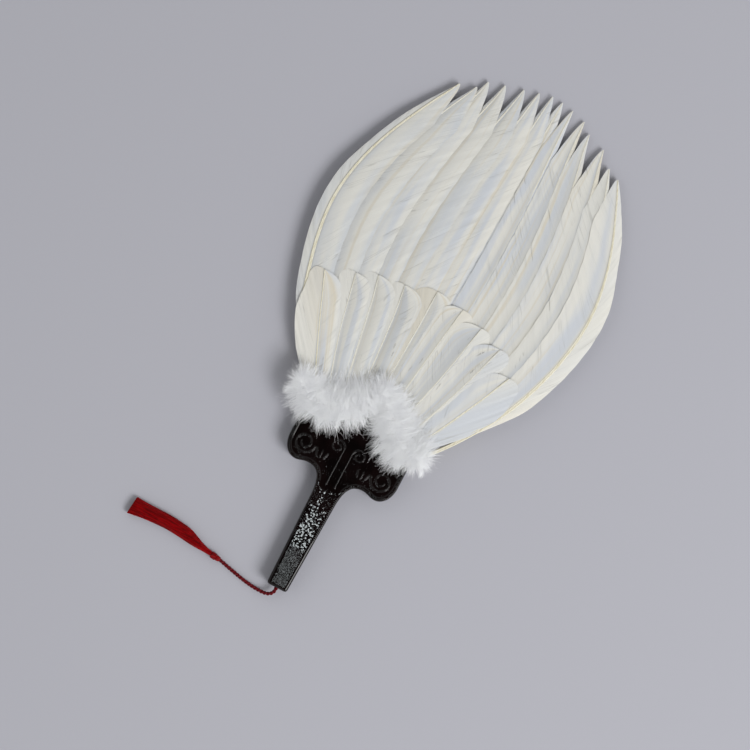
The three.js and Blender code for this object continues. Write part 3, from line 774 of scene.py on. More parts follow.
# %% [markdown]
# ### One feather
# A feather is a shaft with a vane on each side, and a vane is a row of barbs that leave the shaft at
# a slant, hook into each other and reach the feather's edge nearer the tip. So the vane's grid isn't
# laid square: each of its rows is a barb, which starts on the shaft and ends on the edge. Where two
# barbs have let go of each other the vane shows a slit, made by drawing two rows together, deleting
# the faces between their outer parts and letting the rows next to it part. A Solidify modifier gives
# the vane its thickness, and the shaft is a grooved tube that stands a little above it.


# %% Edge of a vane
least_vane = 0.3
inner_slant, outer_slant = 1.25, 2.1


def on_inner_side(bank, index, hand):
    """Whether this hand of the feather is its broad vane, which points to the middle of the blade."""
    return (hand > 0) == (index <= bank.lowest)


def edge_offset(bank, index, hand, t):
    """How far the vane reaches from the shaft on one hand, in mm."""
    tip = bank.tips[index - 1]
    taper = np.clip((tip - t) * blade_length / bank.tip_length, 0, 1) ** bank.tip_round
    pitch_width = (bank.last - bank.first) / (bank.count - 1) * blade_width(t)
    grown = smoothed(bank.vane_start, bank.vane_full, t) * taper * pitch_width
    if on_inner_side(bank, index, hand):
        return np.maximum(bank.inner[index - 1] * grown, least_vane)
    narrow = mix(1, bank.narrow[index - 1], smoothed(bank.narrow_from, bank.narrow_to, t))
    return np.maximum(bank.outer[index - 1] * grown * narrow, least_vane)


def barb_ends(bank, index, hand, roots):
    """Where the barbs with these roots end, as shares of the blade's length, and how far out."""
    slant = inner_slant if on_inner_side(bank, index, hand) else outer_slant
    low, high = roots.copy(), np.full_like(roots, bank.tips[index - 1])
    for _ in range(26):
        middle = (low + high) / 2
        short = middle < roots + slant * edge_offset(bank, index, hand, middle) / blade_length
        low, high = np.where(short, middle, low), np.where(short, high, middle)
    return middle, edge_offset(bank, index, hand, middle)


print("broad vanes slant", inner_slant, "to 1 and narrow ones", outer_slant, "to 1")


# %% Slits in a vane
def slits_of(bank, index, draw):
    """Slits of one feather: their row, hand, inner end as a share of the barb, and width in mm."""
    on_right = index > bank.lowest
    count = 2 if bank is flight and on_right else 1
    free = np.arange(int(bank.rows * 0.35), int(bank.rows * 0.93), 6)
    rows = np.sort(draw.choice(free, count, replace=False))
    inward = -1 if on_right else 1
    hands = np.where(draw.random(count) < 0.75, inward, -inward)
    return [
        (row, hand, draw.uniform(0.5, 0.85), draw.uniform(0.1, 0.45)) for row, hand in zip(rows, hands)
    ]


def open_slits(piece, column, row, slits):
    """Deletes the faces of the grid that lie in a slit."""
    corners = np.array([face.vertices for face in piece.data.polygons])
    low_row = row[corners].min(1)
    columns = column[corners]
    cut = np.zeros(len(corners), bool)
    for at, hand, first in slits:
        cut |= (low_row == at) & ((columns * hand).min(1) >= first)
    if cut.any():
        on_faces(piece, cut, bpy.ops.mesh.delete, type="FACE")


def near_slits(slits, roots, row, right, reach, draw):
    """How far the barbs next to slits part and ruffle, in mm, and their reach, drawn in beside a slit."""
    part, ruffle = np.zeros(len(row)), np.zeros(len(row))
    for at, hand, _, gap in slits:
        same = right == (hand > 0)
        far = (roots[row] - (roots[at] + roots[at + 1]) / 2) * blade_length
        part += same * np.sign(far) * gap * np.exp(-np.abs(far) / 7) * np.where(far > 0, 0.7, 0.35)
        ruffle += same * draw.uniform(-0.18, 0.18) * np.exp(-np.abs(far) / 9) * (far > 0)
        reach = reach * (1 - 0.035 * same * np.exp(-np.abs(far) / 1.2))
    return part, ruffle, reach


print("slit helpers ready")


# %% Unevenness, map and brightness of a vane
def unevenness(mm, draw):
    """Ripple and sway along a vane, in mm, and the wavering of its reach, as a share."""
    phase = draw.uniform(0, 2 * np.pi, 4)
    ripple = 0.07 * np.sin(mm / 3.1 + phase[0]) + 0.06 * np.sin(mm / 1.7 + phase[1])
    sway = 0.16 * np.sin(mm / 17 + phase[2]) * np.sin(mm / 41 + phase[3])
    return ripple, sway, 1 + 0.008 * np.sin(mm / 2.3 + phase[1]) + 0.009 * np.sin(mm / 19 + phase[0])


def write_uv(piece, values):
    """Gives the piece one UV map, with a value for each point."""
    layer = piece.data.uv_layers[0]
    layer.name = "barbs"
    corners = np.empty(len(piece.data.loops), int)
    piece.data.loops.foreach_get("vertex_index", corners)
    layer.data.foreach_set("uv", values[corners].ravel())


def painted_shading(bank, index, q, right, beside):
    """Painted shade on a vane: darker where the next feather covers the broad side, and beside an outer
    shaft.
    """
    bright_from = 0.6 if index in (1, bank.count) else 0.4 if bank is flight else 0.1
    # Painted shade: darkest by the shaft where the next feather covers the broad vane, 0.9 on the narrow
    # vane.
    light = np.where(right == (index <= bank.lowest), mix(bright_from, 1, q), 0.9)
    if index in (1, bank.count):
        # Painted shadow on an outer feather's vane beside its shaft, on the left side, away from the side
        # lamp.
        light = np.where(right, light, light * smoothed(-0.3, 1.1, beside))
    return light.astype(np.float32)


print("vane helpers ready")

# %% Vane of barbs
vane_thickness = 0.26
drawn_together = 0.44


def vane(bank, index, face, draw):
    """Both vanes of a feather as one sheet whose rows are barbs, with the slits open."""
    tip = bank.tips[index - 1]
    rows, half = bank.rows, bank.columns
    roots = np.linspace(bank.first_row, tip - 0.7 / blade_length, rows + 1)
    step = roots[1] - roots[0]
    slits = slits_of(bank, index, draw)
    for row, _, _, _ in slits:
        roots[row] += drawn_together * step
        roots[row + 1] -= drawn_together * step
    ends = {hand: barb_ends(bank, index, hand, roots) for hand in (-1, 1)}

    bpy.ops.mesh.primitive_grid_add(x_subdivisions=2 * half, y_subdivisions=rows, size=1)
    piece = bpy.context.object
    u, v = points_of(piece)[:, :2].T + 0.5
    column = np.rint(u * 2 * half).astype(int) - half
    row = np.rint(v * rows).astype(int)
    q = np.abs(column) / half
    right = column > 0
    end = np.where(right, ends[1][0][row], ends[-1][0][row])
    reach = np.where(right, ends[1][1][row], ends[-1][1][row])

    part, ruffle, reach = near_slits(slits, roots, row, right, reach, draw)
    mm = roots[row] * blade_length
    ripple, sway, wavering = unevenness(mm, draw)
    reach = reach * wavering
    fade = np.clip((tip - roots[row]) * blade_length / 25, 0, 1)

    t = roots[row] + (end - roots[row]) * q**1.25 + part * q**2 * fade / blade_length
    droop = bank.droop + (0.12 if index > bank.lowest else 0)
    height = -droop * q**2.6 * fade + (ripple * q + sway * q**2 + ruffle * q**2) * fade
    height -= bank.tip_sink * smoothed(22, 2, (tip - t) * blade_length)
    offset = np.where(right, 1, -1) * reach * q
    move_points(piece, on_feather(bank, index, face, np.minimum(t, tip), offset, height))

    barb = np.hypot(reach, (end - roots[row]) * blade_length) * q * np.where(right, 1, -1)
    write_uv(piece, np.stack([mm, barb], 1) * MM)
    # The painted shade of each point goes into the vane's 'reach' attribute, which its finish reads.
    beside = reach * q - 1.2 * shaft_radius(bank, roots[row], tip)
    painted_shade_values = piece.data.attributes.new("reach", "FLOAT", "POINT")
    painted_shade_values.data.foreach_set("value", painted_shading(bank, index, q, right, beside))
    open_slits(piece, column, row, [(at, hand, int(share * half)) for at, hand, share, _ in slits])
    applied(piece, "SOLIDIFY", thickness=vane_thickness * MM, offset=0)
    return piece


print("vanes", vane_thickness, "mm thick")

# %% Crest of the handle
crest_y = 146
crest_half_width = 40.5
head_crest = [(crest_half_width, 120.0), (28.35, 130.92), (12.96, crest_y), (0.0, crest_y)]


def head_top(x):
    """Height of the handle's upper edge over the end of the grip, at a distance from its middle line."""
    s = np.linspace(0, 1, 60)
    weights = [(1 - s) ** 3, 3 * s * (1 - s) ** 2, 3 * s * s * (1 - s), s**3]
    curve = sum(w[:, None] * np.array(p) for w, p in zip(weights, head_crest))
    if abs(x) > crest_half_width:
        return 114.0
    return float(np.interp(abs(x), curve[::-1, 0], curve[::-1, 1]))


print("crest", crest_y, "mm over the end of the grip")

# %% Shaft of a feather
quill_in_socket = 0.6
groove_share = 0.8


def root_of(bank, index):
    """Where a feather starts: flight quills on the socket's floor, coverts just past the head's edge."""
    if bank is flight:
        return quill_in_socket / blade_length
    home = bank.first + (bank.last - bank.first) / (bank.count - 1) * (index - 1)
    return (head_top(blade_x(0.08, home)) + 0.6 + 2 * bank.quill - blade_root) / blade_length


def shaft(bank, index, face):
    """The shaft: a tube that sinks into the feather where the vanes begin, grooved along its top."""
    tip = bank.tips[index - 1]
    share = np.linspace(0, 1, 70 if bank is flight else 36) ** 0.9
    t = mix(root_of(bank, index), tip - 0.4 / blade_length, share)
    radius = shaft_radius(bank, t, tip)
    radius[-3:] *= (0.9, 0.75, 0.5)
    sunk = 0.3 * smoothed(0.1, 0.2, t) * (1 - smoothed(0.74, 0.86, t / tip)) if bank is flight else 0
    height = shaft_top(bank, t, tip) - radius - (0 if index in (1, bank.count) else sunk)
    path = on_feather(bank, index, face, t, np.zeros_like(t), height)
    piece = tube("shaft", path, radius * MM, 12)
    points = points_of(piece)
    station = np.rint(np.interp(points[:, 1], path[:, 1], np.arange(len(t)))).astype(int)
    outward = points - path[station]
    rise = np.abs(outward[:, 2]) / np.linalg.norm(outward, axis=1)
    outward *= ((rise**4 + (1 - rise**2) ** 2) ** -0.25)[:, None]
    if index in (1, bank.count):
        outward[:, 0] *= 1 + 0.3 * smoothed(0.12, 0.25, t[station])
    outward[(face * outward[:, 2] > 0) & (rise > 0.97) & (t[station] > 0.05)] *= groove_share
    move_points(piece, path[station] + outward)
    write_uv(piece, points[:, :2])
    return piece


print("shafts from", 2 * flight.quill, "to", 2 * flight.fine, "mm thick")

# %% [markdown]
# ### Finish of the feathers
# White goose feathers aren't one white: each has its own tone, and along a vane run soft streaks
# where the barbs lie closer or further apart, greyish where light passes through and creamy where
# they bunch. The streaks follow the barbs, so the pattern is laid out on the vane's own map, whose
# first value runs along the shaft and whose second runs out along the barb. The same noises give the
# bump of the barbs, and where one of them passes through its middle value it draws thin creases,
# where barbs have parted and closed again, as dents with a grey line of painted shade. Painted shade
# also greys the broad vane where the next feather covers it, and a painted shadow lies beside the
# outer feathers' shafts. The coverts also have a few small dark spots, where barbs are frayed. A
# vane is so thin that light shines through it, so its shader is mixed with a translucent one, which
# keeps the shadows between feathers light and warm. The shaft is horn: cream, smoother and with a
# dull gloss.

# %% Feather finish
def feather_finish(name, shade, frays):
    """White vanes. Shade sets how dark their painted shade is where the next feather covers them; frays,
    a few frayed spots.
    """
    made, wire, shader = new_finish(name, Roughness=0.62, Specular_IOR_Level=0.3)
    mapped = wire.node("UVMap", {"uv_map": "barbs"})
    along, out_along = mapped.part(0), mapped.part(1)
    tone = wire.node("Attribute", {"attribute_name": "tone"}, {}, 2)
    reach = wire.node("Attribute", {"attribute_name": "reach"}, {}, 2)
    shift = tone * 37.0
    fine = wire.noise(wire.vector(along * 1500, out_along * 60, shift), 1.0, 2.0)
    clump = wire.noise(wire.vector(along * 300, out_along * 24, shift), 1.0, 3.0, 0.6)
    wash = wire.noise(wire.vector(along * 11, reach * 3.2, shift), 1.0, 2.0)
    band = wire.noise(wire.vector(along * 5, reach * 7.5, shift + 5), 1.0, 2.0)
    white = wash.clamped(0.4, 0.65).blend(colour(245, 244, 238), colour(222, 227, 235))
    white = (band.clamped(0.54, 0.72) * 0.75).blend(white, colour(231, 222, 201))
    white = (clump.clamped(0.52, 0.8) * 0.4).blend(white, colour(204, 206, 204))
    white = (tone * 0.35).blend(white, colour(222, 224, 222))
    # Painted shade: the white turns warm grey where the next feather covers the broad vane.
    bright = reach.clamped(0.1, 0.95)
    depth = (1 - bright) * (0.55 + tone * 0.45) * shade
    white = depth.blend(white, colour(164, 163, 157))
    # Thin creases where barbs have parted: a dent in the bump and a grey line of painted shade.
    parted = wire.noise(wire.vector(along * 150, out_along * 9, shift + 9), 1.0, 1.0)
    where = wire.noise(wire.vector(along * 24, reach * 1.4, shift + 3), 1.0, 1.0)
    crease = (1 - abs(parted - 0.5).clamped(0.0, 0.014)) * where.clamped(0.48, 0.56)
    white = (crease * 0.45).blend(white, colour(178, 178, 174))
    spot = wire.noise(wire.vector(along * 70, reach * 5, shift + 11), 1.0, 1.0).clamped(0.7, 0.76)
    frayed = spot * fine.clamped(0.35, 0.6)
    white = (frayed * frays).blend(white, colour(128, 125, 117))
    relief = fine * 0.35 + clump * 0.65 - crease * 0.5
    wear(wire, shader, Base_Color=white, Normal=bumped(wire, relief, 0.0003, 0.5))
    let_light_through(wire, shader, colour(248, 242, 226), 0.22)
    return made


print("feather finish ready")


# %% Horn finish
def horn_finish(name, light, dark):
    """Horn that wanders between two tones along the shaft."""
    made, wire, shader = new_finish(name, Roughness=0.38, Specular_IOR_Level=0.45)
    grain = wire.noise(wire.place().scaled((2600, 130, 2600)), 1.0, 2.0)
    tint = grain.clamped(0.3, 0.75).blend(light, dark)
    wear(wire, shader, Base_Color=tint, Normal=bumped(wire, grain, 0.00012, 0.4))
    return made


flight_white = feather_finish("flight_white", 0.66, 0.08)
covert_white = feather_finish("covert_white", 0.45, 0.6)
cream_horn = horn_finish("cream_horn", colour(236, 232, 214), colour(210, 202, 172))
pale_horn = horn_finish("pale_horn", colour(230, 228, 216), colour(214, 209, 192))
print("horn in two tones")


# %% All the feathers
def feather(bank, index, face):
    """One finished feather: its vanes and its shaft, with its own tone of white."""
    draw = np.random.default_rng([bank.count, index, face + 1])
    made = vane(bank, index, face, draw)
    white = flight_white if bank is flight else covert_white
    made.data.materials.append(white)
    stalk = shaft(bank, index, face)
    stalk.data.materials.append(cream_horn if index in (1, bank.count) else pale_horn)
    side = "front" if face > 0 else "back"
    made = joined(f"{bank.name}_{side}_{index:02d}", [made, stalk])
    tone = made.data.attributes.new("tone", "FLOAT", "POINT")
    tone.data.foreach_set("value", np.full(len(made.data.vertices), draw.random(), np.float32))
    node = f"{side}_{bank.name}_feather_{index:02d}"
    return settled(made, white, "fan", f"{bank.name}_feather", node, angle=50)


feathers = [
    feather(bank, index, face)
    for bank in (flight, covert)
    for face in (1, -1)
    for index in range(1, bank.count + 1)
]
print(len(feathers), "feathers,", sum(len(piece.data.polygons) for piece in feathers), "faces")

# %% [markdown]
# ## Stitching
# Two rows of white thread run across the blade between its two layers and hold the shafts at even
# distances. Each row is two strands laid round each other, along the same bowed line as its solid.

# %% Stitch threads
stitch_diameter = 0.6
stitch_lay = 5
stitch_bow = 0.02
white_thread = fuzzy_thread(
    "white_thread", dark=colour(214, 212, 204), light=colour(238, 236, 230),
    fineness=3000.0, detail=2.0, depth=0.00006, strength=0.5, Roughness=0.6, Specular_IOR_Level=0.3,
)

for row, share in (("lower", 0.2), ("upper", 0.335)):
    spread = np.linspace(-1, 1, 11)
    t = share - stitch_bow * spread**2
    height = mid_height + arch_height * through(arch_shares, t)
    route = np.stack([blade_x(t, spread), blade_root + t * blade_length - grip_hold, height], 1)
    line = smooth_route(route, 420) * MM
    stitch = laid_strands(f"stitch_{row}", line, stitch_diameter * MM, stitch_lay * MM)
    settled(stitch, white_thread, "fan", "stitch_thread", f"stitch_thread_{row}")
print("two rows of stitching")

# %% [markdown]
# ## Handle
# The handle is moulded from glossy black plastic in two halves. Each half starts as a plate with the
# handle's outline and a rounded edge. Its inside is then cut away with Boolean modifiers: the hollow
# grip, the socket for the quills and the hole for the cord. Bosses and pegs are joined on in the
# front half, and the back half gets the holes that the pegs enter. A voxel Remesh turns it into even
# small faces, which the relief needs.

# %% Outline of the handle
head_half_width = 43
half_thickness = 6.5
edge_radius = 1.6
half_seam = 0.05
grip_end_half = 7.9
grip_neck_half = 9.6
neck_y = 71
end_corner = 2.2
half_outline = [
    [(grip_end_half - end_corner, 0), (grip_end_half, 0), (grip_end_half, end_corner)],
    [(grip_end_half, end_corner), (grip_neck_half, neck_y)],
    [(grip_neck_half, neck_y), (10.2, 84.5), (14.4, 89), (21.5, 89)],
    [(21.5, 89), (26.1, 89), (27.7, 87), (31.8, 87)],
    [(31.8, 87), (38.5, 87), (head_half_width, 93.75), (head_half_width, 102)],
    [(head_half_width, 102), (head_half_width, 114)],
    [(head_half_width, 114), (head_half_width, 117.8), head_crest[0]],
    head_crest,
]


def curve_of(control, count=30):
    """Points of a line or curve with these control points, without its last point."""
    s = np.linspace(0, 1, count, endpoint=False)[:, None]
    points = [np.array(point, float) for point in control]
    while len(points) > 1:
        points = [mix(a, b, s) for a, b in zip(points, points[1:])]
    return points[0]


def evened(ring, count):
    """A closed outline as count points that are equally far apart."""
    closed = np.vstack([ring, ring[:1]])
    length = length_along(closed)
    even = np.linspace(0, length[-1], count, endpoint=False)
    return np.stack([np.interp(even, length, closed[:, axis]) for axis in (0, 1)], 1)


right_side = np.concatenate([curve_of(control) for control in half_outline])
handle_ring = np.concatenate([right_side, [[0, crest_y]], right_side[::-1] * [-1, 1]])
fine_outline = evened(handle_ring, 1600)
print("handle", round(float(np.ptp(handle_ring[:, 0])), 1), "mm wide")


# %% Plates, posts and cuts
def plate(name, ring, low, high):
    """A flat plate with this outline, between two heights over the handle's mid plane, in mm."""
    bpy.ops.mesh.primitive_circle_add(vertices=len(ring), fill_type="NGON")
    piece = bpy.context.object
    piece.name = piece.data.name = name
    flat = np.column_stack([ring - np.array([0, grip_hold]), np.full(len(ring), mid_height + low)])
    move_points(piece, flat * MM)
    applied(piece, "SOLIDIFY", thickness=(high - low) * MM, offset=1)
    return piece


def rod(radius, length, middle, **turned):
    """A round rod with its middle at a place over the end of the grip, in mm."""
    x, y, z = middle
    place = (x * MM, (y - grip_hold) * MM, (mid_height + z) * MM)
    bpy.ops.mesh.primitive_cylinder_add(
        vertices=32, radius=radius * MM, depth=length * MM, location=place, **turned,
    )
    return bpy.context.object


def post(radius, x, y, low, high):
    """A round post between two heights over the handle's mid plane, in mm."""
    return rod(radius, abs(high - low), (x, y, (low + high) / 2))


def changed(piece, tool, operation):
    """Joins a tool on or cuts it out, and uses the tool up."""
    applied(piece, "BOOLEAN", operation=operation, solver="EXACT", object=tool)
    bpy.data.objects.remove(tool)


print("plates and posts ready")

# %% Room inside the handle
hollow_half_depth = 4.3
hollow_ends = (3, 84)
wall = 2.2
socket_half_depth = 4.1
socket_room = 2.2
cord_hole_radius = 1.7
boss_radius = 2.7
boss_height = 5.4
peg_radius, peg_length = 1.5, 3
peg_hole_radius, peg_hole_depth = 1.8, 3.3
along_grip = [(0, 21.75), (0, 60.03)]
in_lobes = [(-33.5, 94), (33.5, 94)]


def grip_half_width(y):
    return mix(grip_end_half, grip_neck_half, y / neck_y)


def socket_ring():
    """Outline of the socket, as wide as the fan of quills, up through the head's edge."""
    t = np.linspace(0, 0.16, 9)
    y = blade_root + t * blade_length
    right = np.stack([blade_x(t, 1) + socket_room, y], 1)
    left = np.stack([blade_x(t, -1) - socket_room, y], 1)
    return np.concatenate([right, left[::-1]])


def hollow_ring():
    """Outline of the hollow in the grip."""
    low, high = hollow_ends
    low_half, high_half = (grip_half_width(y) - wall for y in hollow_ends)
    return np.array([[-low_half, low], [low_half, low], [high_half, high], [-high_half, high]])


print("walls", wall, "mm, socket", 2 * socket_half_depth, "mm deep")


# %% Plain half shells
voxel = 0.6


def half_shell(name, side):
    """One half of the handle, without its relief. Side is 1 for the front and -1 for the back."""
    piece = plate(name, evened(handle_ring, 440), -half_thickness, half_thickness)
    applied(piece, "BEVEL", width=edge_radius * MM, segments=5, angle_limit=math.radians(60))
    box = np.array([[-60, -10], [60, -10], [60, 160], [-60, 160]])
    changed(piece, plate("other_half", box, *sorted((half_seam * side, -9 * side))), "DIFFERENCE")

    changed(piece, plate("hollow", hollow_ring(), -hollow_half_depth, hollow_half_depth), "DIFFERENCE")
    changed(piece, plate("socket", socket_ring(), -socket_half_depth, socket_half_depth), "DIFFERENCE")
    changed(piece, rod(cord_hole_radius, 6, (0, 1, 0), rotation=(math.pi / 2, 0, 0)), "DIFFERENCE")

    for x, y in along_grip:
        changed(piece, post(boss_radius, x, y, half_seam * side, boss_height * side), "UNION")
    for x, y in along_grip + in_lobes:
        if side > 0:
            changed(piece, post(peg_radius, x, y, -peg_length, 1.5), "UNION")
        else:
            changed(piece, post(peg_hole_radius, x, y, -peg_hole_depth, 1), "DIFFERENCE")
    applied(piece, "REMESH", mode="VOXEL", voxel_size=voxel * MM)
    applied(piece, "SMOOTH", iterations=3, factor=0.5)
    return piece


shells = {side: half_shell(name, side) for name, side in (("front_shell", 1), ("back_shell", -1))}
print([(piece.name, len(piece.data.polygons)) for piece in shells.values()])

# %% [markdown]
# ### Moulded relief
# The face of the head is lowered inside a rim and rises gently to the grip, and the ornament stands
# in it as thin rounded ridges: two stems that end in curls, a spiral in each lobe and three short
# leaves on either side. A row of beads follows the rounded edge from the middle of the grip round the
# head, and a very light groove runs along both sides of the grip's panel. The faces of the outer side
# are subdivided first; then each of their points goes to the height that the relief has there, from
# its distance to the nearest ridge.

# %% Lines of the ornament
stem_x = 3.3
stem_wide = 0.6


def spiral(x, y, outer, inner, turns, wide):
    """Places along a spiral with the ridge's width at each, which falls towards its middle."""
    share = np.linspace(0, 1, int(abs(turns) * 90))
    angle = math.pi + share * turns * 2 * math.pi
    radius = mix(outer, inner, share)
    widths = mix(wide, 0.6 * wide, share)
    return np.stack([x + radius * np.cos(angle), y + radius * np.sin(angle), widths], 1)


def leaf(x, y, angle, length, wide):
    """Places along a straight leaf with its width at each."""
    s = np.linspace(-1, 1, 24)
    half = length / 2 * s
    return np.stack([x + half * np.cos(angle), y + half * np.sin(angle), wide * (1.08 - s * s) ** 0.5], 1)


stem_y = np.linspace(81.6, 109, 110)
right_lines = [
    np.stack([np.full_like(stem_y, stem_x), stem_y, np.full_like(stem_y, stem_wide)], 1),
    spiral(8.5, 109, 5.2, 1.7, -1.25, 0.6),
    spiral(30.5, 101, 8, 2.4, 1.5, 0.65),
]
right_lines += [leaf(16.3 + 3.6 * k, 98.5, math.radians(90 - 20 * k), 6.5, 0.6) for k in (-1, 0, 1)]
right_lines = np.concatenate(right_lines)
ridges = np.concatenate([right_lines, right_lines * [-1, 1, 1]])
print(len(ridges), "places along the ridges")


# %% Distance to the nearest place
def nearest(points, places):
    """Distance from each point to the nearest of some places, and which place that is."""
    tree = KDTree(len(places))
    for k, (x, y) in enumerate(places):
        tree.insert((x, y, 0), k)
    tree.balance()
    found = [tree.find((x, y, 0)) for x, y in points]
    return np.array([hit[2] for hit in found]), np.array([hit[1] for hit in found])


def rounded(distance, radius):
    """Height share of a round ridge or bead at a distance from its middle."""
    return np.sqrt(np.clip(1 - (distance / radius) ** 2, 0, 1))


print("distances from a tree of places")

# %% Relief of a face
field_depth = 0.5
ridge_height = 0.68
groove_depth = 0.06
bead_count = 230
bead_radius = 0.75
bead_height = 0.25
bead_inset = 0.9
bead_start = 34


def relief_of(points, inward):
    """Heights over the plain face at some points, which lie this far inside the outline, in mm."""
    x, y = points.T
    height = -field_depth * smoothed(2.6, 3.2, inward) * smoothed(78, 86, y)
    away, which = nearest(points, ridges[:, :2])
    wide = ridges[which, 2]
    raised = ridge_height * rounded(away, wide) - field_depth
    height = np.where(away < wide, np.maximum(height, raised), height)

    beside = grip_half_width(y) - np.abs(x)
    groove = smoothed(1.5, 2.2, beside) - smoothed(2.2, 2.9, beside)
    return height - groove_depth * groove * smoothed(80, 74, y)


def rim_beads(flat, level):
    """How far the beads along the head's rounded edge stand out, and in which direction."""
    along = np.roll(fine_outline, -1, 0) - np.roll(fine_outline, 1, 0)
    inwards = np.stack([-along[:, 1], along[:, 0]], 1) / np.linalg.norm(along, axis=1)[:, None]
    inner = fine_outline + bead_inset * inwards
    away, _ = nearest(flat, evened(inner[inner[:, 1] > bead_start], bead_count))
    inward, which = nearest(flat, fine_outline)
    outward = (fine_outline[which] - flat) / np.maximum(inward, 0.01)[:, None]
    slope = np.clip(edge_radius - inward, 0, None)[:, None]
    towards = np.column_stack([outward * slope, np.maximum(level - half_thickness + edge_radius, 0.01)])
    towards /= np.linalg.norm(towards, axis=1)[:, None]
    grown = smoothed(bead_start + 2, bead_start + 12, flat[:, 1]) * (level > half_thickness - edge_radius)
    return bead_height * rounded(away, bead_radius) * grown, towards


print(bead_count, "beads round the edge")


# %% Half shells with their relief
def with_relief(piece, side):
    """Subdivides the outer face of a half shell and moves its points to the relief's heights."""
    def level_of(points):
        return side * (points[:, 2] / MM - mid_height)

    outer = level_of(points_of(piece)) > half_thickness - 1.2
    chosen = np.array([outer[list(face.vertices)].all() for face in piece.data.polygons])
    on_faces(piece, chosen, bpy.ops.mesh.subdivide, number_cuts=1)

    points = points_of(piece)
    flat = points[:, :2] / MM + [0, grip_hold]
    inward, _ = nearest(flat, fine_outline)
    face = (level_of(points) > half_thickness - 0.45) & (inward > edge_radius)
    height = half_thickness + relief_of(flat[face], inward[face])
    points[face, 2] = (mid_height + side * height) * MM
    reach, towards = rim_beads(flat, level_of(points))
    move_points(piece, points + reach[:, None] * towards * [1, 1, side] * MM)
    return piece


for side, piece in shells.items():
    with_relief(piece, side)
print([(piece.name, len(piece.data.polygons)) for piece in shells.values()])

# %% [markdown]
# ### Black plastic
# The plastic is nearly black with a warm cast, and it shines. The grip's panel is moulded with flat
# facets about a millimetre wide that lean one or two degrees each, some more than others, so some of
# them mirror the lamp and most don't. A Voronoi texture gives each facet its middle and its lean, and
# the bump gets a plane through the middle with that lean. Towards the grip's edges the surface eases
# down, which keeps the border dark. Finer grain and rubbed streaks dull the end of the grip, where
# hands rub it.

# %% Where the plastic differs
black_plastic, wire, shader = new_finish("black_plastic", Specular_IOR_Level=0.3)
place = wire.place()
x_place, y_place = place.part(0), place.part(1)
rubbed = 1 - y_place.clamped(-0.018, -0.01)
on_grip = 1 - y_place.clamped(0.030, 0.036)
widening = (grip_neck_half - grip_end_half) / neck_y
edge = grip_half_width(grip_hold) * MM + y_place * widening - abs(x_place)
edge = wire.maths("MINIMUM", edge, y_place + (grip_hold + 0.2) * MM)
panel = edge.clamped(0.0022, 0.0028) * on_grip
print("panel and rubbed end found on the grip")

# %% Facets
facet_lean = 0.021
facets_per_metre = 1020.0
cells = {"Vector": place, "Scale": facets_per_metre}
chance = wire.node("TexVoronoi", {}, cells, 1)
lean = wire.node("VectorMath", {"operation": "SUBTRACT"}, {0: chance, 1: (0.5, 0.5, 0.5)})
steeper = chance.part(2).clamped(0.3, 0.9) * 3 + rubbed + 1
middle = wire.node("TexVoronoi", {}, cells, 2)
off = wire.node("VectorMath", {"operation": "SUBTRACT"}, {0: place, 1: middle})
facet = wire.node("VectorMath", {"operation": "DOT_PRODUCT"}, {0: off, 1: lean}, 1) * 1000
print("facets", round(1000 / facets_per_metre, 2), "mm wide")

# %% Black plastic finish
border = 0.0024
pebble = wire.noise(place, 1300.0, 1.0)
grain = wire.noise(place, 2100.0, 2.0)
streak = wire.noise(place.scaled((1500, 260, 1500)), 1.0, 1.0)
patch = wire.noise(place, 60.0, 2.0)
tint = patch.clamped(0.35, 0.7).blend(colour(7, 4, 4), colour(16, 8, 8))
eased = wire.maths("MAXIMUM", border - edge, 0.0) * on_grip * 100
rough = rubbed * panel * 0.09 + patch * 0.02 + 0.02
relief = facet * steeper * panel * facet_lean + (grain + streak) * rubbed * panel * 0.03
relief = relief + pebble * (0.014 - panel * 0.012) - eased
wear(wire, shader, Base_Color=tint, Roughness=rough, Normal=bumped(wire, relief, 0.001))

settled(shells[1], black_plastic, "fan", "handle_plastic", "handle_front_shell", angle=50)
settled(shells[-1], black_plastic, "fan", "handle_plastic", "handle_back_shell", angle=50)
print("handle finished")

# %% [markdown]
# ### Stopper knot
# Inside the end wall the cord ends in a knot that is too thick for the hole. It is one closed loop
# that runs twice round the cord and weaves over and under itself, with the cord's own two strands
# through its middle.

# %% Knot in the grip
knot_y = 6.0
around = np.linspace(0, 4 * np.pi, 121)
weave = 1.5 + 0.45 * np.cos(1.5 * around)
knot_line = np.stack([
    weave * np.cos(around),
    knot_y + 1.35 * np.sin(1.5 * around) - grip_hold,
    mid_height + weave * np.sin(around),
], 1)
knot_loop = tube("knot_loop", knot_line * MM, 0.74 * MM, 12)
stub_y = np.linspace(-0.7, 6.8, 40) - grip_hold
stub_line = np.stack([0 * stub_y, stub_y, 0 * stub_y + mid_height], 1)
stub = laid_strands("knot_stub", stub_line * MM, cord_diameter * MM, cord_lay * MM)
settled(joined("knot", [knot_loop, stub]), dark_red_cord, "fan", "cord", "cord_knot")
print("knot finished")

# %% [markdown]
# ## Down
# Four tufts of down hide the place where the quills enter the handle, two on each face. A tuft is
# thousands of very fine strands that start along the tuft's middle line and point away from it, over
# and under each other. They gather in wisps, whose strands draw together towards the tip, and a few
# small plumes with a stem of their own lie on top. One strand is modelled as a thin flattened tube
# and copied along each line, and the lines are draped over the mound that the tuft's solid describes.
# Flattened strands turn their broad side up and catch as much light as a flat surface does, so the
# down stays as white as the feathers. A smaller closed mound below keeps the middle dense, while at
# the fringe single strands show what lies behind. The back tufts are pressed flat between the
# feathers and the table.

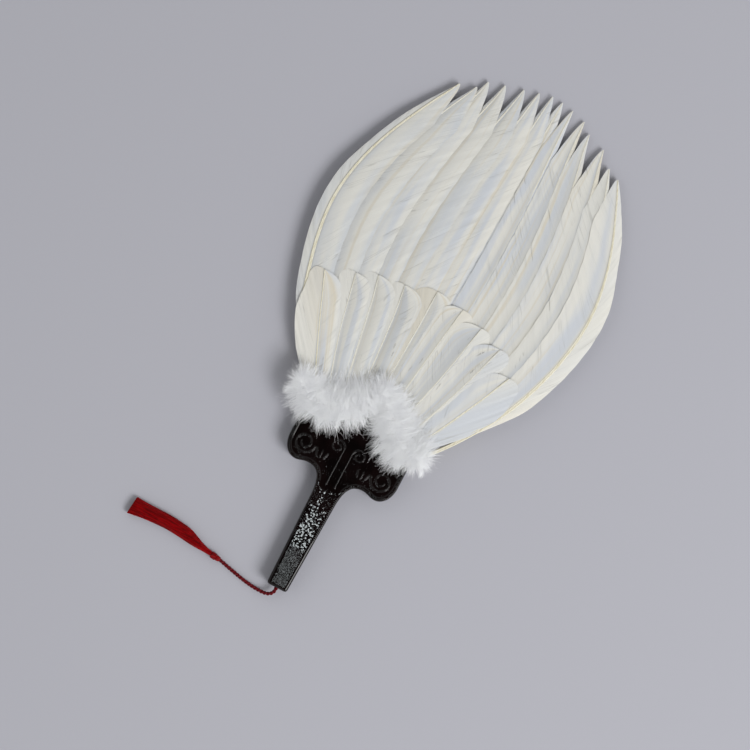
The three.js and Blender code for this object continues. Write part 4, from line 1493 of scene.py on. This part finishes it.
# %% The mound under a tuft
down_half_width = 17
down_height = 8.5
down_back_offset = 25
table_gap = 0.15
middle_steps = 40
mound_columns = 24
tuft_middles = {
    "left": [[-1.2, 0.94], [-1.03, 0.89], [-0.74, 0.89], [-0.42, 0.935], [-0.12, 1.01], [0.08, 1.08]],
    "right": [[0.22, 1.04], [0.4, 0.965], [0.56, 0.915], [0.74, 0.885], [0.9, 0.875], [1.06, 0.88]],
}


def down_seat(y, face):
    """Height of what the down lies on, from the middle of the handle."""
    t = np.maximum((y - blade_root) / blade_length, 0)
    edge = covert.shingle * max(covert.inner) * smoothed(covert.vane_start, covert.vane_full, t)
    top = covert_level(t) + np.maximum(edge, shaft_top(covert, t, 1)) + room_over_vane
    on_feathers = face * arch_height * through(arch_shares, t) + top
    return (np.maximum(on_feathers, half_thickness) if face > 0 else on_feathers) + 2 * between


def tuft_middle(name, face):
    """Middle line of a tuft, in mm over the end of the grip."""
    shares = np.array(tuft_middles[name])
    shift = 0 if face > 0 else down_back_offset
    flat = np.stack([head_half_width * shares[:, 0], crest_y * shares[:, 1] + shift, 0 * shares[:, 0]], 1)
    return smooth_route(flat, middle_steps + 1)[:, :2]


def room_over(seat, face):
    """How far a tuft may rise: over the front freely, at the back down to the table."""
    return down_height if face > 0 else mid_height - table_gap - seat


print("left tuft", round(float(np.ptp(tuft_middle("left", 1)[:, 0]))), "mm from end to end")


# %% Draping over the mound
fluff_share = {1: 0.56, -1: 0.86}
mound_share = 0.42
mound_width = 0.6


def draped(middle, face, x, y, loft):
    """Places on the mound round a middle line; loft is the height over it."""
    flat = np.stack([x, y], -1)
    off = np.linalg.norm(flat[..., None, :] - middle, axis=-1).min(-1)
    seat = down_seat(y, face)
    swell = np.clip(1 - (off / (down_half_width * 1.1)) ** 2, 0, 1) ** 1.15
    level = seat + room_over(seat, face) * fluff_share[face] * swell + loft
    if face > 0:
        level -= (1 - swell) * (0.35 + 0.55 * smoothed(crest_y - 4, crest_y + 4, y))
    else:
        level = np.minimum(level, mid_height - table_gap)
    return np.stack([x, y - grip_hold, mid_height + face * level], -1) * MM


def mound(name, face):
    """The closed mound under a tuft's strands."""
    middle = tuft_middle(name, face)
    along = np.gradient(middle, axis=0)
    along /= np.linalg.norm(along, axis=1, keepdims=True)

    def place(u, v):
        k = np.rint(v * middle_steps).astype(int)
        angle = 2 * np.pi * np.rint(u * mound_columns) / mound_columns
        swell = 0.02 + 0.98 * np.sqrt(np.clip(1 - (2 * v - 1) ** 2, 0, 1))
        across = mound_width * down_half_width * swell * np.cos(angle)
        x = middle[k, 0] - along[k, 1] * across
        y = middle[k, 1] + along[k, 0] * across
        seat = down_seat(y, face)
        level = seat + mound_share * room_over(seat, face) * swell * np.maximum(0, np.sin(angle)) ** 1.3
        return np.stack([x, y - grip_hold, mid_height + face * level], 1) * MM

    return closed_up(shaped_grid("mound", mound_columns, middle_steps, place))


print("mounds of", mound_columns, "by", middle_steps, "faces")

# %% Strands in wisps
strand_steps = 3
strands_in_wisp = 9
rounded_end = 0.14


def bent_lines(x, y, turn, bend, length):
    """Lines in the plane that start at x, y in the direction turn and bend evenly along their length."""
    s = np.linspace(0, 1, strand_steps + 1)
    angle = (turn + bend * 0.5 / strand_steps)[:, None] + bend[:, None] * s[:-1]
    step = (length / strand_steps)[:, None]
    far = np.concatenate([x[:, None], x[:, None] + np.cumsum(np.cos(angle) * step, 1)], 1)
    high = np.concatenate([y[:, None], y[:, None] + np.cumsum(np.sin(angle) * step, 1)], 1)
    return far, high, s


def outward_places(middle, draw, count):
    """Places along a middle line, the direction away from it, and the tuft's width there as a share."""
    u = draw.uniform(-rounded_end, 1 + rounded_end, count)
    at = np.clip(u, 0, 1)
    step, steps = at * middle_steps, np.arange(middle_steps + 1)
    x, y = (np.interp(step, steps, middle[:, axis]) for axis in (0, 1))
    along = np.gradient(middle, axis=0)
    heading = np.interp(step, steps, np.unwrap(np.arctan2(along[:, 1], along[:, 0])))
    past = (u - at) / rounded_end
    turn = heading + draw.choice([-1, 1], count) * np.pi / 2 * (1 - past)
    return x, y, turn, mix(0.35, 1, np.sqrt(1 - (2 * at - 1) ** 2))


def strands(middle, draw, count):
    """Strands gathered in wisps, as their places in the plane and their height over the mound, in mm."""
    x, y, turn, swell = outward_places(middle, draw, count // strands_in_wisp)
    start = draw.uniform(-1.5, 11, len(x)) * swell
    layer = mix(1.5, 0.1, np.clip(start / 10, 0, 1)) + draw.uniform(-0.4, 0.7, len(x))
    wisp = turn + 0.3 * np.sin(x / 3.1 + y / 4.3) + draw.normal(0, 0.22, len(x))
    longer_upwards = 1 + 0.45 * smoothed(0.2, 0.9, np.sin(wisp))
    length = draw.uniform(7, 11.5, len(x)) * mix(0.65, 1, swell) * longer_upwards
    bend = draw.normal(0, 0.45, len(x))
    x, y, start, layer, wisp, length, bend = (
        np.repeat(value, strands_in_wisp) for value in (x, y, start, layer, wisp, length, bend)
    )
    beside, before = draw.normal(0, 1.1, len(x)), draw.uniform(-3, 3, len(x))
    x = x + (start + before) * np.cos(wisp) - beside * np.sin(wisp)
    y = y + (start + before) * np.sin(wisp) + beside * np.cos(wisp)
    inward = -np.arctan2(0.5 * beside, length) + draw.normal(0, 0.14, len(x))
    far, high, s = bent_lines(x, y, wisp + inward, bend, length * draw.uniform(0.5, 1.3, len(x)))
    loft = layer + draw.uniform(-0.2, 0.3, len(x))
    return far, high, loft[:, None] + (draw.uniform(-0.03, 0.1, len(x)) * length)[:, None] * s


print(strand_steps, "steps to a strand,", strands_in_wisp, "strands to a wisp")

# %% Small plumes
plume_length = 12
barbs_each_side = 26


def plume(x, y, turn, draw):
    """One small plume: its stem, and barbs on both sides of it."""
    root = np.linspace(0.05, 0.97, barbs_each_side).repeat(2)
    hand = np.tile([1.0, -1.0], barbs_each_side)
    open_angle = np.radians(mix(58, 14, root)) * hand + draw.normal(0, 0.1, len(root))
    span = 5.5 * np.sin(np.pi * mix(0.15, 0.85, root)) * draw.uniform(0.7, 1.1, len(root))
    along = root * plume_length
    far, high, s = bent_lines(
        np.append(x, x + along * np.cos(turn)), np.append(y, y + along * np.sin(turn)),
        turn + np.append(0, open_angle), np.append(0, -0.5 * open_angle), np.append(plume_length, span),
    )
    start_height = 1.6 + 0.1 * np.append(0, along)[:, None]
    return far, high, start_height + draw.uniform(-0.8, 1, (len(far), 1)) * s**1.5


print(2 * barbs_each_side, "barbs to a plume")

# %% One tuft
strand_counts = {1: 8300, -1: 3800}
plume_counts = {1: 12, -1: 6}


def tuft(name, face):
    """A finished tuft: its strands and plumes, draped, over its mound."""
    draw = np.random.default_rng([len(name), face + 2])
    middle = tuft_middle(name, face)
    parts = [strands(middle, draw, strand_counts[face])]
    for x, y, turn, swell in np.transpose(outward_places(middle, draw, plume_counts[face])):
        start = draw.uniform(0, 5) * swell
        x, y = x + start * np.cos(turn), y + start * np.sin(turn)
        parts.append(plume(x, y, turn + draw.normal(0, 0.3), draw))
    far, high, loft = (np.concatenate(values) for values in zip(*parts))
    lines = draped(middle, face, far, high, np.maximum(loft, -0.2) * (1 if face > 0 else 0.25))
    taper = np.linspace(0.1, 0.03, strand_steps + 1) * MM
    fluff = tubes_along("fluff", lines, taper, 3, squash=0.35)
    side = "front" if face > 0 else "back"
    made = joined(f"down_{side}_{name}", [fluff, mound(name, face)])
    return settled(made, down_white, "fan", "down", f"down_tuft_{side}_{name}", angle=80)


print("about", sum(strand_counts.values()) * 2, "strands in four tufts")

# %% Finish and tufts
soft = {"Roughness": 0.8, "Specular_IOR_Level": 0.2, "Sheen_Weight": 0.4}
down_white, wire, shader = new_finish("down_white", **soft)
place = wire.place()
cloud = wire.noise(place, 140.0, 3.0)
tint = cloud.clamped(0.3, 0.7).blend(colour(243, 244, 246), colour(250, 251, 252))
fuzz = wire.noise(place, 2500.0, 2.0)
wear(wire, shader, Base_Color=tint, Normal=bumped(wire, fuzz, 0.0002, 0.4))

tufts = [tuft(name, face) for face in (1, -1) for name in ("left", "right")]
print([(piece.name, len(piece.data.polygons)) for piece in tufts])
